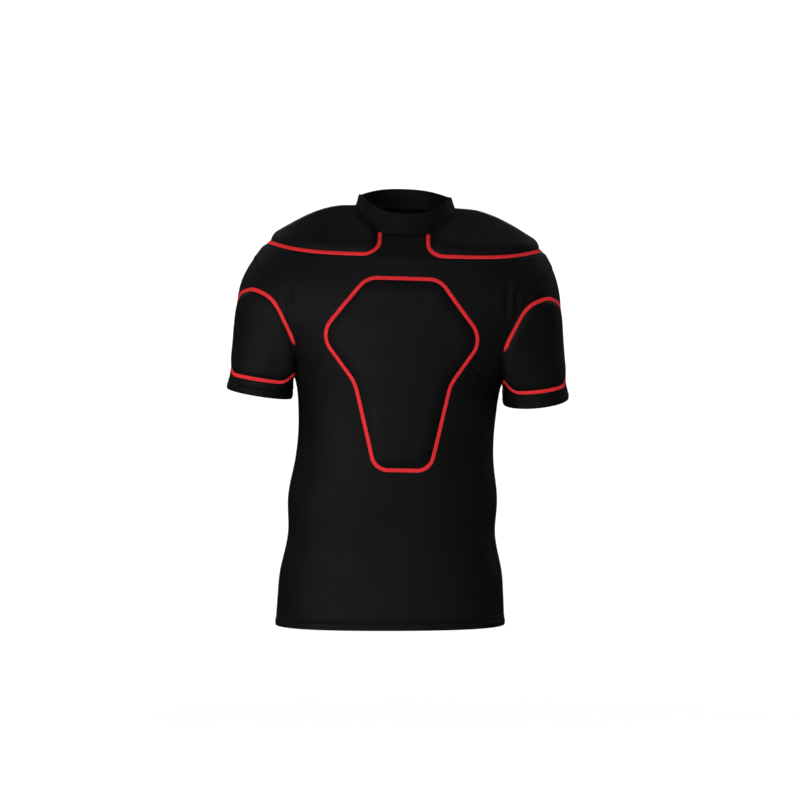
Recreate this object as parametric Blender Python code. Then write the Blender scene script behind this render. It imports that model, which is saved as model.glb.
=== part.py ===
"""Rugby shoulder pads: a tight short-sleeved knit top with five sewn-on pads.

The top keeps the hollow form it has when worn by a general figure, arms a little away from the body.
Metres, +Z up, front towards -Y. The origin lies between the shoulders at the base of the neck.
Left and right are the wearer's own, so the left side is +X.
"""

import math

import bmesh
import bpy
import numpy as np

# Cloth walls and seams
KNIT_WALL = 0.0016
COLLAR_WALL = 0.0024
SEAM_GAP = 0.0003
PAD_CLEARANCE = 0.0010
HEM_TURN = 0.015
HEM_RAISE = 0.0008
HEM_EASE = 0.003

# Body form: one row for each level, from the hem up to the neck seam.
# level is the height at the sides, rise_front and rise_back are added to it at the middle of each panel.
BODY_COLUMNS = ("level", "rise_front", "rise_back", "half_width", "front", "back", "squareness")
BODY_ROWS = (
    (-0.659, -0.001, 0.000, 0.1820, 0.114, 0.120, 2.40),
    (-0.611, 0.000, 0.000, 0.1795, 0.112, 0.116, 2.40),
    (-0.573, 0.000, 0.000, 0.1762, 0.110, 0.110, 2.40),
    (-0.515, 0.000, 0.000, 0.1648, 0.107, 0.100, 2.40),
    (-0.455, 0.000, 0.000, 0.1662, 0.107, 0.097, 2.40),
    (-0.390, 0.000, 0.000, 0.1570, 0.109, 0.100, 2.35),
    (-0.330, 0.000, 0.000, 0.1565, 0.114, 0.108, 2.30),
    (-0.268, 0.000, 0.000, 0.1655, 0.120, 0.118, 2.25),
    (-0.220, 0.000, 0.000, 0.1950, 0.122, 0.124, 2.20),
    (-0.174, -0.002, -0.002, 0.2400, 0.121, 0.129, 2.15),
    (-0.131, -0.006, -0.006, 0.2565, 0.1185, 0.131, 2.10),
    (-0.100, -0.012, -0.014, 0.2475, 0.115, 0.130, 2.10),
    (-0.070, -0.0185, -0.022, 0.2310, 0.110, 0.127, 2.10),
    (-0.056, -0.0195, -0.024, 0.2170, 0.106, 0.124, 2.10),
    (-0.021, -0.040, -0.024, 0.1580, 0.095, 0.110, 2.10),
    (-0.005, -0.0445, -0.010, 0.1170, 0.083, 0.090, 2.05),
    (-0.001, -0.0395, 0.013, 0.0825, 0.072, 0.066, 2.05),
)
PAD_EDGE_ROW = 13
NECK_ROW = len(BODY_ROWS) - 1
BODY_RISE_POWER = 4.5

# Armhole: an oval seen from the side
ARMHOLE_TOP = -0.080
ARMHOLE_BOTTOM = -0.268
ARMHOLE_FRONT = 0.084
ARMHOLE_BACK = 0.085
UNDERARM_SEAT = 0.0005

# Sleeve: from the armhole to an oval cuff square to the arm
CUFF_CENTRE = (0.2215, 0.006, -0.2965)
CUFF_HALF_WIDTH = 0.0515
CUFF_HALF_DEPTH = 0.0545
ARM_LINE = (0.130, 0.095, -0.987)
# Direction that each cuff faces: the left one is lower in front.
LEFT_CUFF_LINE = (0.130, 0.210, -0.969)
RIGHT_CUFF_LINE = ARM_LINE
UNDERARM_LINE = (0.350, 0.000, -0.937)
SLEEVE_PULL_UNDER = 0.75
SLEEVE_PULL_TOP = 1.84
SLEEVE_FADE = 4.5
FOLD_STARTS = 0.10
FOLD_ENDS = -0.75

# Collar: a band from the neck seam to its own top edge
COLLAR_TOP_HALF_WIDTH = 0.0735
COLLAR_TOP_FRONT = 0.066
COLLAR_TOP_BACK = 0.061
COLLAR_TOP_SIDE_HEIGHT = 0.0265
COLLAR_TOP_FRONT_HEIGHT = -0.0075
COLLAR_TOP_BACK_HEIGHT = 0.042
COLLAR_RISE_POWER = 2.5

# Shoulder pads: over the shoulder from the front to the back, between the collar and the shoulder tip
SHOULDER_PAD_THICKNESS = 0.0095
SHOULDER_PAD_EDGE = 0.0020
SHOULDER_PAD_MIDDLE_LEFT = 0.034
SHOULDER_PAD_MIDDLE_RIGHT = 0.042
SHOULDER_PAD_CORNER = 0.026
SHOULDER_PAD_TOP_ROW = 15.95
SHOULDER_PAD_ACROSS_FULLNESS = 4.0
SHOULDER_PAD_UP_FULLNESS = 5.0

# Sternum pad: a shield, one half of it as corners from the top down (half width, height, rounding)
STERNUM_CORNERS = (
    (0.0566, -0.1120, 0.034),
    (0.1270, -0.2022, 0.036),
    (0.0741, -0.2752, 0.070),
    (0.0430, -0.4102, 0.026),
)
# It hangs straighter than the leaning body: each row holds a height and the pad's sideways shift there.
STERNUM_DRIFT = (
    (-0.4102, 0.0106),
    (-0.3700, 0.0086),
    (-0.3200, 0.0059),
    (-0.2700, 0.0040),
    (-0.2200, 0.0028),
    (-0.1120, 0.0018),
)
STERNUM_THICKNESS = 0.0065
STERNUM_EDGE = 0.0016
STERNUM_ACROSS_FULLNESS = 4.0
STERNUM_UP_FULLNESS = 8.0

# Sleeve pads: each row holds an angle round the sleeve (0 outside, 90 in front) and the upper edge there,
# as a share of the sleeve's length from the armhole
SLEEVE_PAD_ROWS = (
    (-8.0, 0.515),
    (4.0, 0.410),
    (14.0, 0.325),
    (24.0, 0.228),
    (42.0, 0.120),
    (62.0, 0.052),
    (90.0, 0.032),
    (120.0, 0.046),
    (143.0, 0.090),
)
SLEEVE_PAD_ABOVE_CUFF = 0.024
SLEEVE_PAD_OUTER_CORNER = 0.024
SLEEVE_PAD_INNER_CORNER = 0.026
SLEEVE_PAD_LEAST_HEIGHT = 0.14
SLEEVE_PAD_THICKNESS = 0.0044
SLEEVE_PAD_EDGE = 0.0014
SLEEVE_PAD_FULLNESS = 5.0

# Stance: the upper body leans to the left and turns a little to it, and its left shoulder is lower.
# Lean rows hold a height and the sideways shift there.
LEAN_ROWS = (
    (-0.659, -0.0160),
    (-0.450, -0.0115),
    (-0.300, -0.0035),
    (-0.120, 0.0005),
    (-0.045, 0.0086),
    (0.040, 0.0080),
)
TWIST = math.radians(1.4)
ROLL = math.radians(1.7)
ROLL_HEIGHT = 0.42

# Mesh spacing
PANEL_COLUMNS = 20
PANEL_LOWER_ROWS = 11
ARMHOLE_STEPS = 12
PANEL_CAP_ROWS = 8
SLEEVE_RINGS = 8
COLLAR_COLUMNS = 40
COLLAR_RINGS = 4
SHOULDER_PAD_GRID = (10, 21)
STERNUM_GRID = (19, 15)
STERNUM_ARC_STEPS = 7
STERNUM_END_SPACING = 0.6
SLEEVE_PAD_GRID = (9, 19)
SOLVE_STEPS = 12
LEVEL_STEPS = 801
SLOPE_STEP = 1e-3
SHARP_ANGLE = math.radians(40.0)

BLACK_KNIT = (0.0075, 0.0075, 0.0085)
BLACK_PAD = (0.0090, 0.0090, 0.0100)
KNIT_ROUGHNESS = 0.62
PAD_ROUGHNESS = 0.58


def clear_scene():
    """Remove every object that the scene starts with."""
    for item in list(bpy.data.objects):
        bpy.data.objects.remove(item, do_unlink=True)


def cloth_material(name, colour, roughness):
    """Plain Principled cloth of one colour."""
    material = bpy.data.materials.new(name)
    material.use_nodes = True
    shader = material.node_tree.nodes["Principled BSDF"]
    shader.inputs["Base Color"].default_value = (*colour, 1.0)
    shader.inputs["Roughness"].default_value = roughness
    shader.inputs["Metallic"].default_value = 0.0
    return material


def ease(share):
    """Smooth step from 0 to 1."""
    held = np.clip(share, 0.0, 1.0)
    return held * held * (3.0 - 2.0 * held)


def unit(vectors):
    """Vectors of length one."""
    return vectors / np.linalg.norm(vectors, axis=-1, keepdims=True)


def hermite(start, end, leave, arrive, along):
    """Cubic curve between two points with given end directions."""
    square = along * along
    cube = square * along
    return (
        (2.0 * cube - 3.0 * square + 1.0) * start
        + (cube - 2.0 * square + along) * leave
        + (3.0 * square - 2.0 * cube) * end
        + (cube - square) * arrive
    )


def smooth_row(rows, at):
    """Columns of a table at fractional row numbers, on a smooth curve through its rows."""
    table = np.asarray(rows)
    last = len(table) - 1
    at = np.asarray(at, dtype=float)
    low = np.clip(np.floor(at).astype(int), 0, last - 1)
    slopes = np.gradient(table, axis=0)
    along = (at - low)[..., None]
    return hermite(table[low], table[low + 1], slopes[low], slopes[low + 1], along)


def smooth_curve(rows, at):
    """Second column of a two-column table at values of its first, on a smooth curve through its rows."""
    first, second = np.array(rows).T
    slopes = np.gradient(second, first)
    low = np.clip(np.searchsorted(first, at, side="right") - 1, 0, len(first) - 2)
    span = first[low + 1] - first[low]
    along = np.clip((at - first[low]) / span, 0.0, 1.0)
    return hermite(second[low], second[low + 1], slopes[low] * span, slopes[low + 1] * span, along)


def body_sizes(at):
    """Sizes of the body form at a fractional row, by column name."""
    columns = np.moveaxis(smooth_row(BODY_ROWS, at), -1, 0)
    return dict(zip(BODY_COLUMNS, columns))


FINE_ROWS = np.linspace(0.0, NECK_ROW, LEVEL_STEPS)
FINE_LEVELS = body_sizes(FINE_ROWS)["level"]


def row_at(level):
    """Fractional row of the body form at a side height."""
    return np.interp(level, FINE_LEVELS, FINE_ROWS)


def signed_power(value, power):
    """Power of a value that keeps its sign."""
    return np.sign(value) * np.abs(value) ** power


def body_point(turn, at):
    """Point of the body form; turn runs 0 at the left side, a quarter in front, half at the right."""
    size = body_sizes(at)
    cosine = np.cos(turn)
    sine = np.sin(turn)
    power = 2.0 / size["squareness"]
    depth = np.where(sine > 0.0, size["front"], size["back"])
    rise = np.where(sine > 0.0, size["rise_front"], size["rise_back"])
    x = size["half_width"] * signed_power(cosine, power)
    y = -depth * signed_power(sine, power)
    z = size["level"] + rise * (1.0 - np.abs(cosine) ** BODY_RISE_POWER)
    return np.stack(np.broadcast_arrays(x, y, z), axis=-1)


def outward(surface, first, second):
    """Unit normals of a surface of two parameters, by central differences."""
    along_first = surface(first + SLOPE_STEP, second) - surface(first - SLOPE_STEP, second)
    along_second = surface(first, second + SLOPE_STEP) - surface(first, second - SLOPE_STEP)
    return unit(np.cross(along_first, along_second))


def body_normal(turn, at):
    """Outward unit normal of the body form."""
    held = np.clip(at, SLOPE_STEP, NECK_ROW - SLOPE_STEP)
    return -outward(body_point, turn, held)


def stance(points):
    """Worn pose: a small lean and turn to the left, and a small roll that fades out towards the hem."""
    x, y, z = np.moveaxis(points, -1, 0)
    lean = smooth_curve(LEAN_ROWS, z)
    roll = math.tan(ROLL) * ease((z - BODY_ROWS[0][0]) / ROLL_HEIGHT)
    turned_x = x * math.cos(TWIST) - y * math.sin(TWIST)
    turned_y = x * math.sin(TWIST) + y * math.cos(TWIST)
    return np.stack((turned_x + lean, turned_y, z - x * roll), axis=-1)


def wall_object(name, outer, inner, closed, material):
    """Closed cloth wall between two point grids; closed grids join their last column to the first."""
    rows, columns = outer.shape[:2]
    count = rows * columns
    points = np.concatenate((outer.reshape(-1, 3), inner.reshape(-1, 3)))
    number = np.arange(count).reshape(rows, columns)
    spans = columns if closed else columns - 1
    left = number[:, :spans]
    right = np.roll(number, -1, axis=1)[:, :spans]
    quads = [
        np.stack((left[:-1], right[:-1], right[1:], left[1:]), axis=-1),
        np.stack((left[:-1], left[1:], right[1:], right[:-1]), axis=-1) + count,
        np.stack((left[0], left[0] + count, right[0] + count, right[0]), axis=-1),
        np.stack((left[-1], right[-1], right[-1] + count, left[-1] + count), axis=-1),
    ]
    if not closed:
        quads.append(np.stack((number[:-1, 0], number[1:, 0], number[1:, 0] + count,
                               number[:-1, 0] + count), axis=-1))
        quads.append(np.stack((number[:-1, -1], number[:-1, -1] + count, number[1:, -1] + count,
                               number[1:, -1]), axis=-1))
    faces = np.concatenate([quad.reshape(-1, 4) for quad in quads])
    mesh = bpy.data.meshes.new(name)
    mesh.from_pydata(stance(points).tolist(), [], faces.tolist())
    shaped = bmesh.new()
    shaped.from_mesh(mesh)
    bmesh.ops.recalc_face_normals(shaped, faces=shaped.faces)
    shaped.to_mesh(mesh)
    shaped.free()
    mesh.shade_smooth()
    mesh.set_sharp_from_angle(angle=SHARP_ANGLE)
    mesh.materials.append(material)
    piece = bpy.data.objects.new(name, mesh)
    bpy.context.scene.collection.objects.link(piece)
    return piece


def seam_turn(reach, size, front):
    """Turn at which a ring of the body form lies a given distance in front of its side, or behind it."""
    depth = size["front"] if front else size["back"]
    return np.arcsin(np.clip(reach / depth, 0.0, 1.0) ** (size["squareness"] / 2.0))


def panel_rows(front):
    """Fractional rows of a panel and the turn of its left edge in each, cut out for the armhole."""
    half_gap = SEAM_GAP / 2.0
    middle = (ARMHOLE_TOP + ARMHOLE_BOTTOM) / 2.0
    half = (ARMHOLE_TOP - ARMHOLE_BOTTOM) / 2.0 + half_gap
    depth = (ARMHOLE_FRONT if front else ARMHOLE_BACK) + half_gap
    angle = np.linspace(math.pi, 0.0, ARMHOLE_STEPS + 1)
    hem = BODY_ROWS[0][0]
    turned = np.array((hem, hem + HEM_TURN, hem + HEM_TURN + HEM_EASE))
    plain = np.linspace(turned[-1], middle - half, PANEL_LOWER_ROWS)[1:-1]
    lower = row_at(np.concatenate((turned, plain)))
    beside = row_at(middle + half * np.cos(angle))
    cap = np.linspace(beside[-1], NECK_ROW, PANEL_CAP_ROWS)[1:]
    rows = np.concatenate((lower, beside, cap))
    reach = np.concatenate((np.zeros(len(lower)), depth * np.sin(angle), np.zeros(len(cap))))
    reach = np.maximum(reach, half_gap)
    return rows, seam_turn(reach, body_sizes(rows), front)


def hem_raise(rows):
    """Extra outward offset of the turned hem."""
    above = body_sizes(rows)["level"] - BODY_ROWS[0][0] - HEM_TURN
    return HEM_RAISE * (1.0 - ease(above / HEM_EASE))


def make_panel(name, front, material):
    """Front or back panel: hem to neck seam, side seam to side seam."""
    rows, edge = panel_rows(front)
    across = np.linspace(-1.0, 1.0, PANEL_COLUMNS + 1)
    quarter = math.pi / 2.0
    turn = quarter + across[None, :] * (quarter - edge)[:, None]
    if not front:
        turn = -turn
    at = np.repeat(rows[:, None], len(across), axis=1)
    normal = body_normal(turn, at)
    outer = body_point(turn, at) + normal * hem_raise(at)[..., None]
    return wall_object(name, outer, outer - normal * (KNIT_WALL + hem_raise(at)[..., None]), False, material)


def armhole_point(angle):
    """Sleeve's seam round the left armhole with its outward normal; angle 0 on top, a quarter in front."""
    half_gap = SEAM_GAP / 2.0
    middle = (ARMHOLE_TOP + ARMHOLE_BOTTOM) / 2.0
    half = (ARMHOLE_TOP - ARMHOLE_BOTTOM) / 2.0 - half_gap
    at = row_at(middle + half * np.cos(angle))
    size = body_sizes(at)
    front_turn = seam_turn((ARMHOLE_FRONT - half_gap) * np.abs(np.sin(angle)), size, True)
    back_turn = seam_turn((ARMHOLE_BACK - half_gap) * np.abs(np.sin(angle)), size, False)
    turn = np.where(np.sin(angle) >= 0.0, front_turn, -back_turn)
    normal = body_normal(turn, at)
    seat = UNDERARM_SEAT * ease(-np.cos(angle))
    return body_point(turn, at) + normal * seat[..., None], normal


def sleeve_ends(angle, cuff_line):
    """Both ends of a left sleeve at an angle round it: their points and the slopes there."""
    start, normal = armhole_point(angle)
    along_seam = armhole_point(angle + SLOPE_STEP)[0] - armhole_point(angle - SLOPE_STEP)[0]
    inward = unit(np.cross(normal, along_seam))
    faces = unit(np.array(cuff_line))
    outside = unit(np.cross((0.0, 1.0, 0.0), -faces))
    front = np.cross(outside, -faces)
    end = (
        np.array(CUFF_CENTRE)
        + CUFF_HALF_WIDTH * np.cos(angle)[..., None] * outside
        + CUFF_HALF_DEPTH * np.sin(angle)[..., None] * front
    )
    smooth = ease((np.cos(angle) - FOLD_ENDS) / (FOLD_STARTS - FOLD_ENDS))[..., None]
    leave = unit(smooth * inward + (1.0 - smooth) * unit(np.array(UNDERARM_LINE)))
    length = np.linalg.norm(end - start, axis=-1, keepdims=True)
    top = ease(np.cos(angle))[..., None]
    leave_pull = length * (SLEEVE_PULL_UNDER + (SLEEVE_PULL_TOP - SLEEVE_PULL_UNDER) * top)
    return start, end, leave * leave_pull, unit(np.array(ARM_LINE)) * length * SLEEVE_PULL_UNDER


def sleeve_point(angle, along, cuff_line):
    """Point of a left sleeve; along runs 0 at the armhole seam, 1 at the cuff's edge."""
    start, end, leave, arrive = sleeve_ends(angle, cuff_line)
    straight = end - start
    share = np.asarray(along)[..., None]
    opening = share * (1.0 - share) ** SLEEVE_FADE * (leave - straight)
    closing = share ** 2 * (share - 1.0) * (arrive - straight)
    return start + share * straight + opening + closing


def sleeve_normal(angle, along, cuff_line):
    """Outward unit normal of a left sleeve."""
    held = np.clip(along, SLOPE_STEP, 1.0 - SLOPE_STEP)
    return outward(lambda turn, share: sleeve_point(turn, share, cuff_line), angle, held)


def above_cuff(angle, distance, cuff_line):
    """Share of the sleeve's length that ends a given distance above the cuff's edge."""
    arrive = sleeve_ends(angle, cuff_line)[3]
    return 1.0 - distance / np.linalg.norm(arrive, axis=-1)


def mirrored(points, side):
    """Points of the left side, or the same on the right side."""
    return points * np.array((side, 1.0, 1.0))


def make_sleeve(name, side, cuff_line, material):
    """Short sleeve with a turned cuff."""
    angle = np.linspace(0.0, 2.0 * math.pi, 2 * ARMHOLE_STEPS, endpoint=False)
    eased = above_cuff(angle, HEM_TURN + HEM_EASE, cuff_line)
    plain = np.linspace(0.0, 1.0, SLEEVE_RINGS)[:, None] * eased[None, :]
    along = np.concatenate((plain, above_cuff(angle, HEM_TURN, cuff_line)[None, :], np.ones((1, len(angle)))))
    angles = np.repeat(angle[None, :], len(along), axis=0)
    raised = np.zeros(along.shape)
    raised[SLEEVE_RINGS:] = HEM_RAISE
    normal = sleeve_normal(angles, along, cuff_line)
    outer = sleeve_point(angles, along, cuff_line) + normal * raised[..., None]
    inner = outer - normal * (KNIT_WALL + raised)[..., None]
    return wall_object(name, mirrored(outer, side), mirrored(inner, side), True, material)


def collar_point(turn, up):
    """Point of the collar; up runs 0 at the neck seam, 1 at its top edge."""
    neck = dict(zip(BODY_COLUMNS, BODY_ROWS[NECK_ROW]))
    sine = np.sin(turn)
    cosine = np.cos(turn)
    power = 2.0 / neck["squareness"]
    low_depth = np.where(sine > 0.0, neck["front"], neck["back"])
    low_rise = np.where(sine > 0.0, neck["rise_front"], neck["rise_back"])
    low = low_rise * (1.0 - np.abs(cosine) ** BODY_RISE_POWER) + neck["level"] + SEAM_GAP
    top_depth = np.where(sine > 0.0, COLLAR_TOP_FRONT, COLLAR_TOP_BACK)
    top_middle = np.where(sine > 0.0, COLLAR_TOP_FRONT_HEIGHT, COLLAR_TOP_BACK_HEIGHT)
    top_rise = (top_middle - COLLAR_TOP_SIDE_HEIGHT) * (1.0 - np.abs(cosine) ** COLLAR_RISE_POWER)
    width = neck["half_width"] + (COLLAR_TOP_HALF_WIDTH - neck["half_width"]) * up
    depth = low_depth + (top_depth - low_depth) * up
    height = low + (COLLAR_TOP_SIDE_HEIGHT + top_rise - low) * up
    x = width * signed_power(cosine, power)
    y = -depth * signed_power(sine, power)
    return np.stack((x, y, height), axis=-1)


def make_collar(name, material):
    """High collar band, open at the top."""
    turn = np.linspace(0.0, 2.0 * math.pi, COLLAR_COLUMNS, endpoint=False)
    up = np.linspace(0.0, 1.0, COLLAR_RINGS + 1)
    turns, ups = np.meshgrid(turn, up)
    normal = -outward(collar_point, turns, ups)
    outer = collar_point(turns, ups)
    return wall_object(name, outer, outer - normal * COLLAR_WALL, True, material)


def crown(share, fullness):
    """Rounded profile of a pad: 0 at both edges, 1 over its middle."""
    return 1.0 - np.abs(2.0 * share - 1.0) ** fullness


def make_pad(name, base, normal, thickness, side, material):
    """Pad lying on a panel: the panel's own points moved out, and those again by the pad's thickness."""
    inner = base + normal * PAD_CLEARANCE
    outer = inner + normal * thickness[..., None]
    return wall_object(name, mirrored(outer, side), mirrored(inner, side), False, material)


def round_in(distance, radius):
    """How far a rounded corner draws an edge in, at a distance from the corner's end."""
    left = 1.0 - np.clip(distance / radius, 0.0, 1.0)
    return radius * (1.0 - np.sqrt(1.0 - left * left))


def make_shoulder_pad(name, side, inner_edge, material):
    """Pad over one shoulder, from its inner edge beside the middle line out to the shoulder tip."""
    up = np.linspace(0.0, 1.0, SHOULDER_PAD_GRID[0])
    along = np.linspace(0.0, 1.0, SHOULDER_PAD_GRID[1])
    rows = PAD_EDGE_ROW + up * (SHOULDER_PAD_TOP_ROW - PAD_EDGE_ROW)
    size = body_sizes(rows)
    front_line = body_point(np.full_like(rows, math.pi / 2.0), rows)
    above_edge = np.linalg.norm(front_line - front_line[0], axis=-1)
    middle = inner_edge + round_in(above_edge, SHOULDER_PAD_CORNER)
    edge = np.arccos(np.clip(middle / size["half_width"], 0.0, 1.0) ** (size["squareness"] / 2.0))
    turn = edge[:, None] * (1.0 - 2.0 * along[None, :])
    at = np.repeat(rows[:, None], len(along), axis=1)
    swell = SHOULDER_PAD_THICKNESS - SHOULDER_PAD_EDGE
    rise = 1.0 - (1.0 - up) ** SHOULDER_PAD_UP_FULLNESS
    raised = rise[:, None] * crown(along, SHOULDER_PAD_ACROSS_FULLNESS)[None, :]
    thickness = SHOULDER_PAD_EDGE + swell * raised
    return make_pad(name, body_point(turn, at), body_normal(turn, at), thickness, side, material)


def filleted(corners, ends, steps):
    """Outline from one end point to another past rounded corners, as points along arcs and straights."""
    points = [np.array(ends[0])]
    stops = [np.array(ends[0])] + [np.array(corner[:2]) for corner in corners] + [np.array(ends[1])]
    for index, (_, _, radius) in enumerate(corners):
        before, vertex, after = stops[index:index + 3]
        back = unit(before - vertex)
        ahead = unit(after - vertex)
        half_angle = 0.5 * math.acos(float(np.clip(back @ ahead, -1.0, 1.0)))
        centre = vertex + unit(back + ahead) * radius / math.sin(half_angle)
        tangent = radius / math.tan(half_angle)
        first = vertex + back * tangent - centre
        last = vertex + ahead * tangent - centre
        sweep = math.pi - 2.0 * half_angle
        for share in np.linspace(0.0, 1.0, steps):
            mixed = math.sin((1.0 - share) * sweep) * first + math.sin(share * sweep) * last
            points.append(centre + mixed / math.sin(sweep))
    points.append(np.array(ends[1]))
    return np.array(points)


def front_place(x, z):
    """Turn and fractional row of the front panel's point that has a given width and height."""
    at = row_at(z)
    turn = np.full_like(at, math.pi / 2.0)
    for _ in range(SOLVE_STEPS):
        size = body_sizes(at)
        cosine = signed_power(np.clip(x / size["half_width"], -1.0, 1.0), size["squareness"] / 2.0)
        turn = np.arccos(cosine)
        at = row_at(size["level"] + z - body_point(turn, at)[..., 2])
    return turn, at


def make_sternum_pad(name, material):
    """Shield-shaped pad in the middle of the chest."""
    top = STERNUM_CORNERS[0][1]
    bottom = STERNUM_CORNERS[-1][1]
    outline = filleted(STERNUM_CORNERS, ((0.0, top), (0.0, bottom)), STERNUM_ARC_STEPS)[::-1]
    even = np.linspace(0.0, 1.0, STERNUM_GRID[0])
    upward = even + STERNUM_END_SPACING * (0.5 - 0.5 * np.cos(math.pi * even) - even)
    height = bottom + (top - bottom) * upward
    half = np.interp(height, outline[1:-1, 1], outline[1:-1, 0])
    across = np.linspace(-1.0, 1.0, STERNUM_GRID[1])
    x = half[:, None] * across[None, :] + smooth_curve(STERNUM_DRIFT, height)[:, None]
    z = np.repeat(height[:, None], len(across), axis=1)
    turn, at = front_place(x, z)
    crosswise = crown(0.5 + 0.5 * across, STERNUM_ACROSS_FULLNESS)
    raised = crosswise[None, :] * crown(upward, STERNUM_UP_FULLNESS)[:, None]
    thickness = STERNUM_EDGE + (STERNUM_THICKNESS - STERNUM_EDGE) * raised
    return make_pad(name, body_point(turn, at), body_normal(turn, at), thickness, 1.0, material)


def make_sleeve_pad(name, side, cuff_line, material):
    """Upper-arm pad round the front of one sleeve, from the outside of the arm to the fold under it."""
    first = SLEEVE_PAD_ROWS[0][0]
    last = SLEEVE_PAD_ROWS[-1][0]
    down = np.linspace(0.0, 1.0, SLEEVE_PAD_GRID[0])
    share = np.linspace(0.0, 1.0, SLEEVE_PAD_GRID[1])
    degrees = first + share * (last - first)
    angle = np.radians(degrees)
    upper = smooth_curve(SLEEVE_PAD_ROWS, degrees)
    girth = CUFF_HALF_WIDTH * (angle[-1] - angle[0])
    rounded = round_in(girth * share, SLEEVE_PAD_OUTER_CORNER)
    rounded = rounded + round_in(girth * (1.0 - share), SLEEVE_PAD_INNER_CORNER)
    lower = above_cuff(angle, SLEEVE_PAD_ABOVE_CUFF + rounded, cuff_line)
    lower = np.maximum(lower, upper + SLEEVE_PAD_LEAST_HEIGHT)
    along = upper[None, :] + (lower - upper)[None, :] * down[:, None]
    angles = np.repeat(angle[None, :], len(down), axis=0)
    raised = crown(share, SLEEVE_PAD_FULLNESS)[None, :] * crown(down, SLEEVE_PAD_FULLNESS)[:, None]
    thickness = SLEEVE_PAD_EDGE + (SLEEVE_PAD_THICKNESS - SLEEVE_PAD_EDGE) * raised
    base = sleeve_point(angles, along, cuff_line)
    normal = sleeve_normal(angles, along, cuff_line)
    return make_pad(name, base, normal, thickness, side, material)


def main():
    """Build every piece of the top under one empty at the neck."""
    clear_scene()
    knit = cloth_material("black_knit", BLACK_KNIT, KNIT_ROUGHNESS)
    padded = cloth_material("black_pad_cover", BLACK_PAD, PAD_ROUGHNESS)
    pieces = [
        make_panel("front_panel", True, knit),
        make_panel("back_panel", False, knit),
        make_collar("collar", knit),
        make_sternum_pad("sternum_pad", padded),
    ]
    for word, side, cuff_line, inner_edge in (
        ("left", 1.0, LEFT_CUFF_LINE, SHOULDER_PAD_MIDDLE_LEFT),
        ("right", -1.0, RIGHT_CUFF_LINE, SHOULDER_PAD_MIDDLE_RIGHT),
    ):
        pieces.append(make_sleeve("sleeve_" + word, side, cuff_line, knit))
        pieces.append(make_shoulder_pad("shoulder_pad_" + word, side, inner_edge, padded))
        pieces.append(make_sleeve_pad("sleeve_pad_" + word, side, cuff_line, padded))
    neck = bpy.data.objects.new("neck", None)
    bpy.context.scene.collection.objects.link(neck)
    for piece in pieces:
        piece.parent = neck


main()
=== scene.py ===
"""Rugby shoulder pads: the visual model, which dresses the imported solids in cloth, foam and sewing.

The forms are those of the solids at a finer spacing: knit shells with turned edges and placed creases, five
foam pads, and the seams. Metres, +Z up, front towards -Y. Left is left as worn, so it is +X.
Every surface is worked out upright and brought into the worn stance when its mesh is made.
"""

from __future__ import annotations

import logging
import math
from abc import ABC, abstractmethod
from collections.abc import Callable, Sequence
from dataclasses import dataclass
from enum import Enum
from typing import ClassVar

import bpy
import numpy as np
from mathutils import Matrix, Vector

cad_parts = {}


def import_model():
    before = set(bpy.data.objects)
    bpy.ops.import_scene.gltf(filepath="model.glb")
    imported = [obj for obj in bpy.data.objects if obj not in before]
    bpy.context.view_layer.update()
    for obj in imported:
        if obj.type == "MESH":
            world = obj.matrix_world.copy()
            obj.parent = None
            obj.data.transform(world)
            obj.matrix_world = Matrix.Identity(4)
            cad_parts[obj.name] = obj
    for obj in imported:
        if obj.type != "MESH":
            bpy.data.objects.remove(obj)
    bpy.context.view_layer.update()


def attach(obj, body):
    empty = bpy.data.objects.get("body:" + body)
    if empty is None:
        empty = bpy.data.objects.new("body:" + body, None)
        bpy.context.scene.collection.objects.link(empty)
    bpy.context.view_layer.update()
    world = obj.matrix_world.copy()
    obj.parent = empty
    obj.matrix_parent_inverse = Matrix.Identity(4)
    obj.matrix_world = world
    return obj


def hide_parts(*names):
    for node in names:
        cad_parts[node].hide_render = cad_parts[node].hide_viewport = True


LOG = logging.getLogger("shoulder_pads")
UV_NAME = "cloth"
SLOPE_STEP = 1e-3
QUARTER = math.pi / 2.0
FULL_TURN = 2.0 * math.pi
ALONG, ACROSS = 0, 1
NEAREST_BLOCK = 800
RING_COLUMNS = ("level", "rise_front", "rise_back", "half_width", "front", "back", "squareness")
# Row of the body's rings that is level with the shoulder tip, where the shoulder pads end
TIP_ROW = 13.0
# Points of a rounded edge as shares of its length, and the share of a wall's thickness at its very end
RIM_STEPS = np.array((0.0, 0.08, 0.3, 0.65, 1.0))
LEAST_THICKNESS = 0.15
# Distances between the points of the pads' seams and of all other seams, and the neighbours averaged on each
# side of a point, which rounds the corners of a pad's seam
SEAM_SPACING = 0.001
STITCH_SPACING = 0.002
SEAM_ROUNDING = 2

Array = np.ndarray
Table = tuple[tuple[float, ...], ...]
Place = tuple[float, float, float]
Mesh = tuple[Array, list[Array]]
Inputs = dict[str | int, object]


class Face(Enum):
    """The two body panels, by the name of the solid each one stands for."""

    FRONT = "front_panel"
    BACK = "back_panel"


class Side(Enum):
    """The two sides as worn, with the sign of X there."""

    LEFT = 1.0
    RIGHT = -1.0

    @property
    def word(self) -> str:
        """Side's name in lower case."""
        return self.name.lower()


def ease(share: Array | float) -> Array:
    """Smooth step from 0 to 1: 3 s^2 - 2 s^3 of each value s, held between 0 and 1."""
    held = np.clip(share, 0.0, 1.0)
    return held * held * (3.0 - 2.0 * held)


def bell(distance: Array, width: float) -> Array:
    """Bell curve of a distance, 1 in its middle and 1/e at its width."""
    return np.exp(-((distance / width) ** 2))


def unit(vectors: Array) -> Array:
    """Vectors of length one, along the last axis."""
    return vectors / np.linalg.norm(vectors, axis=-1, keepdims=True)


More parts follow.
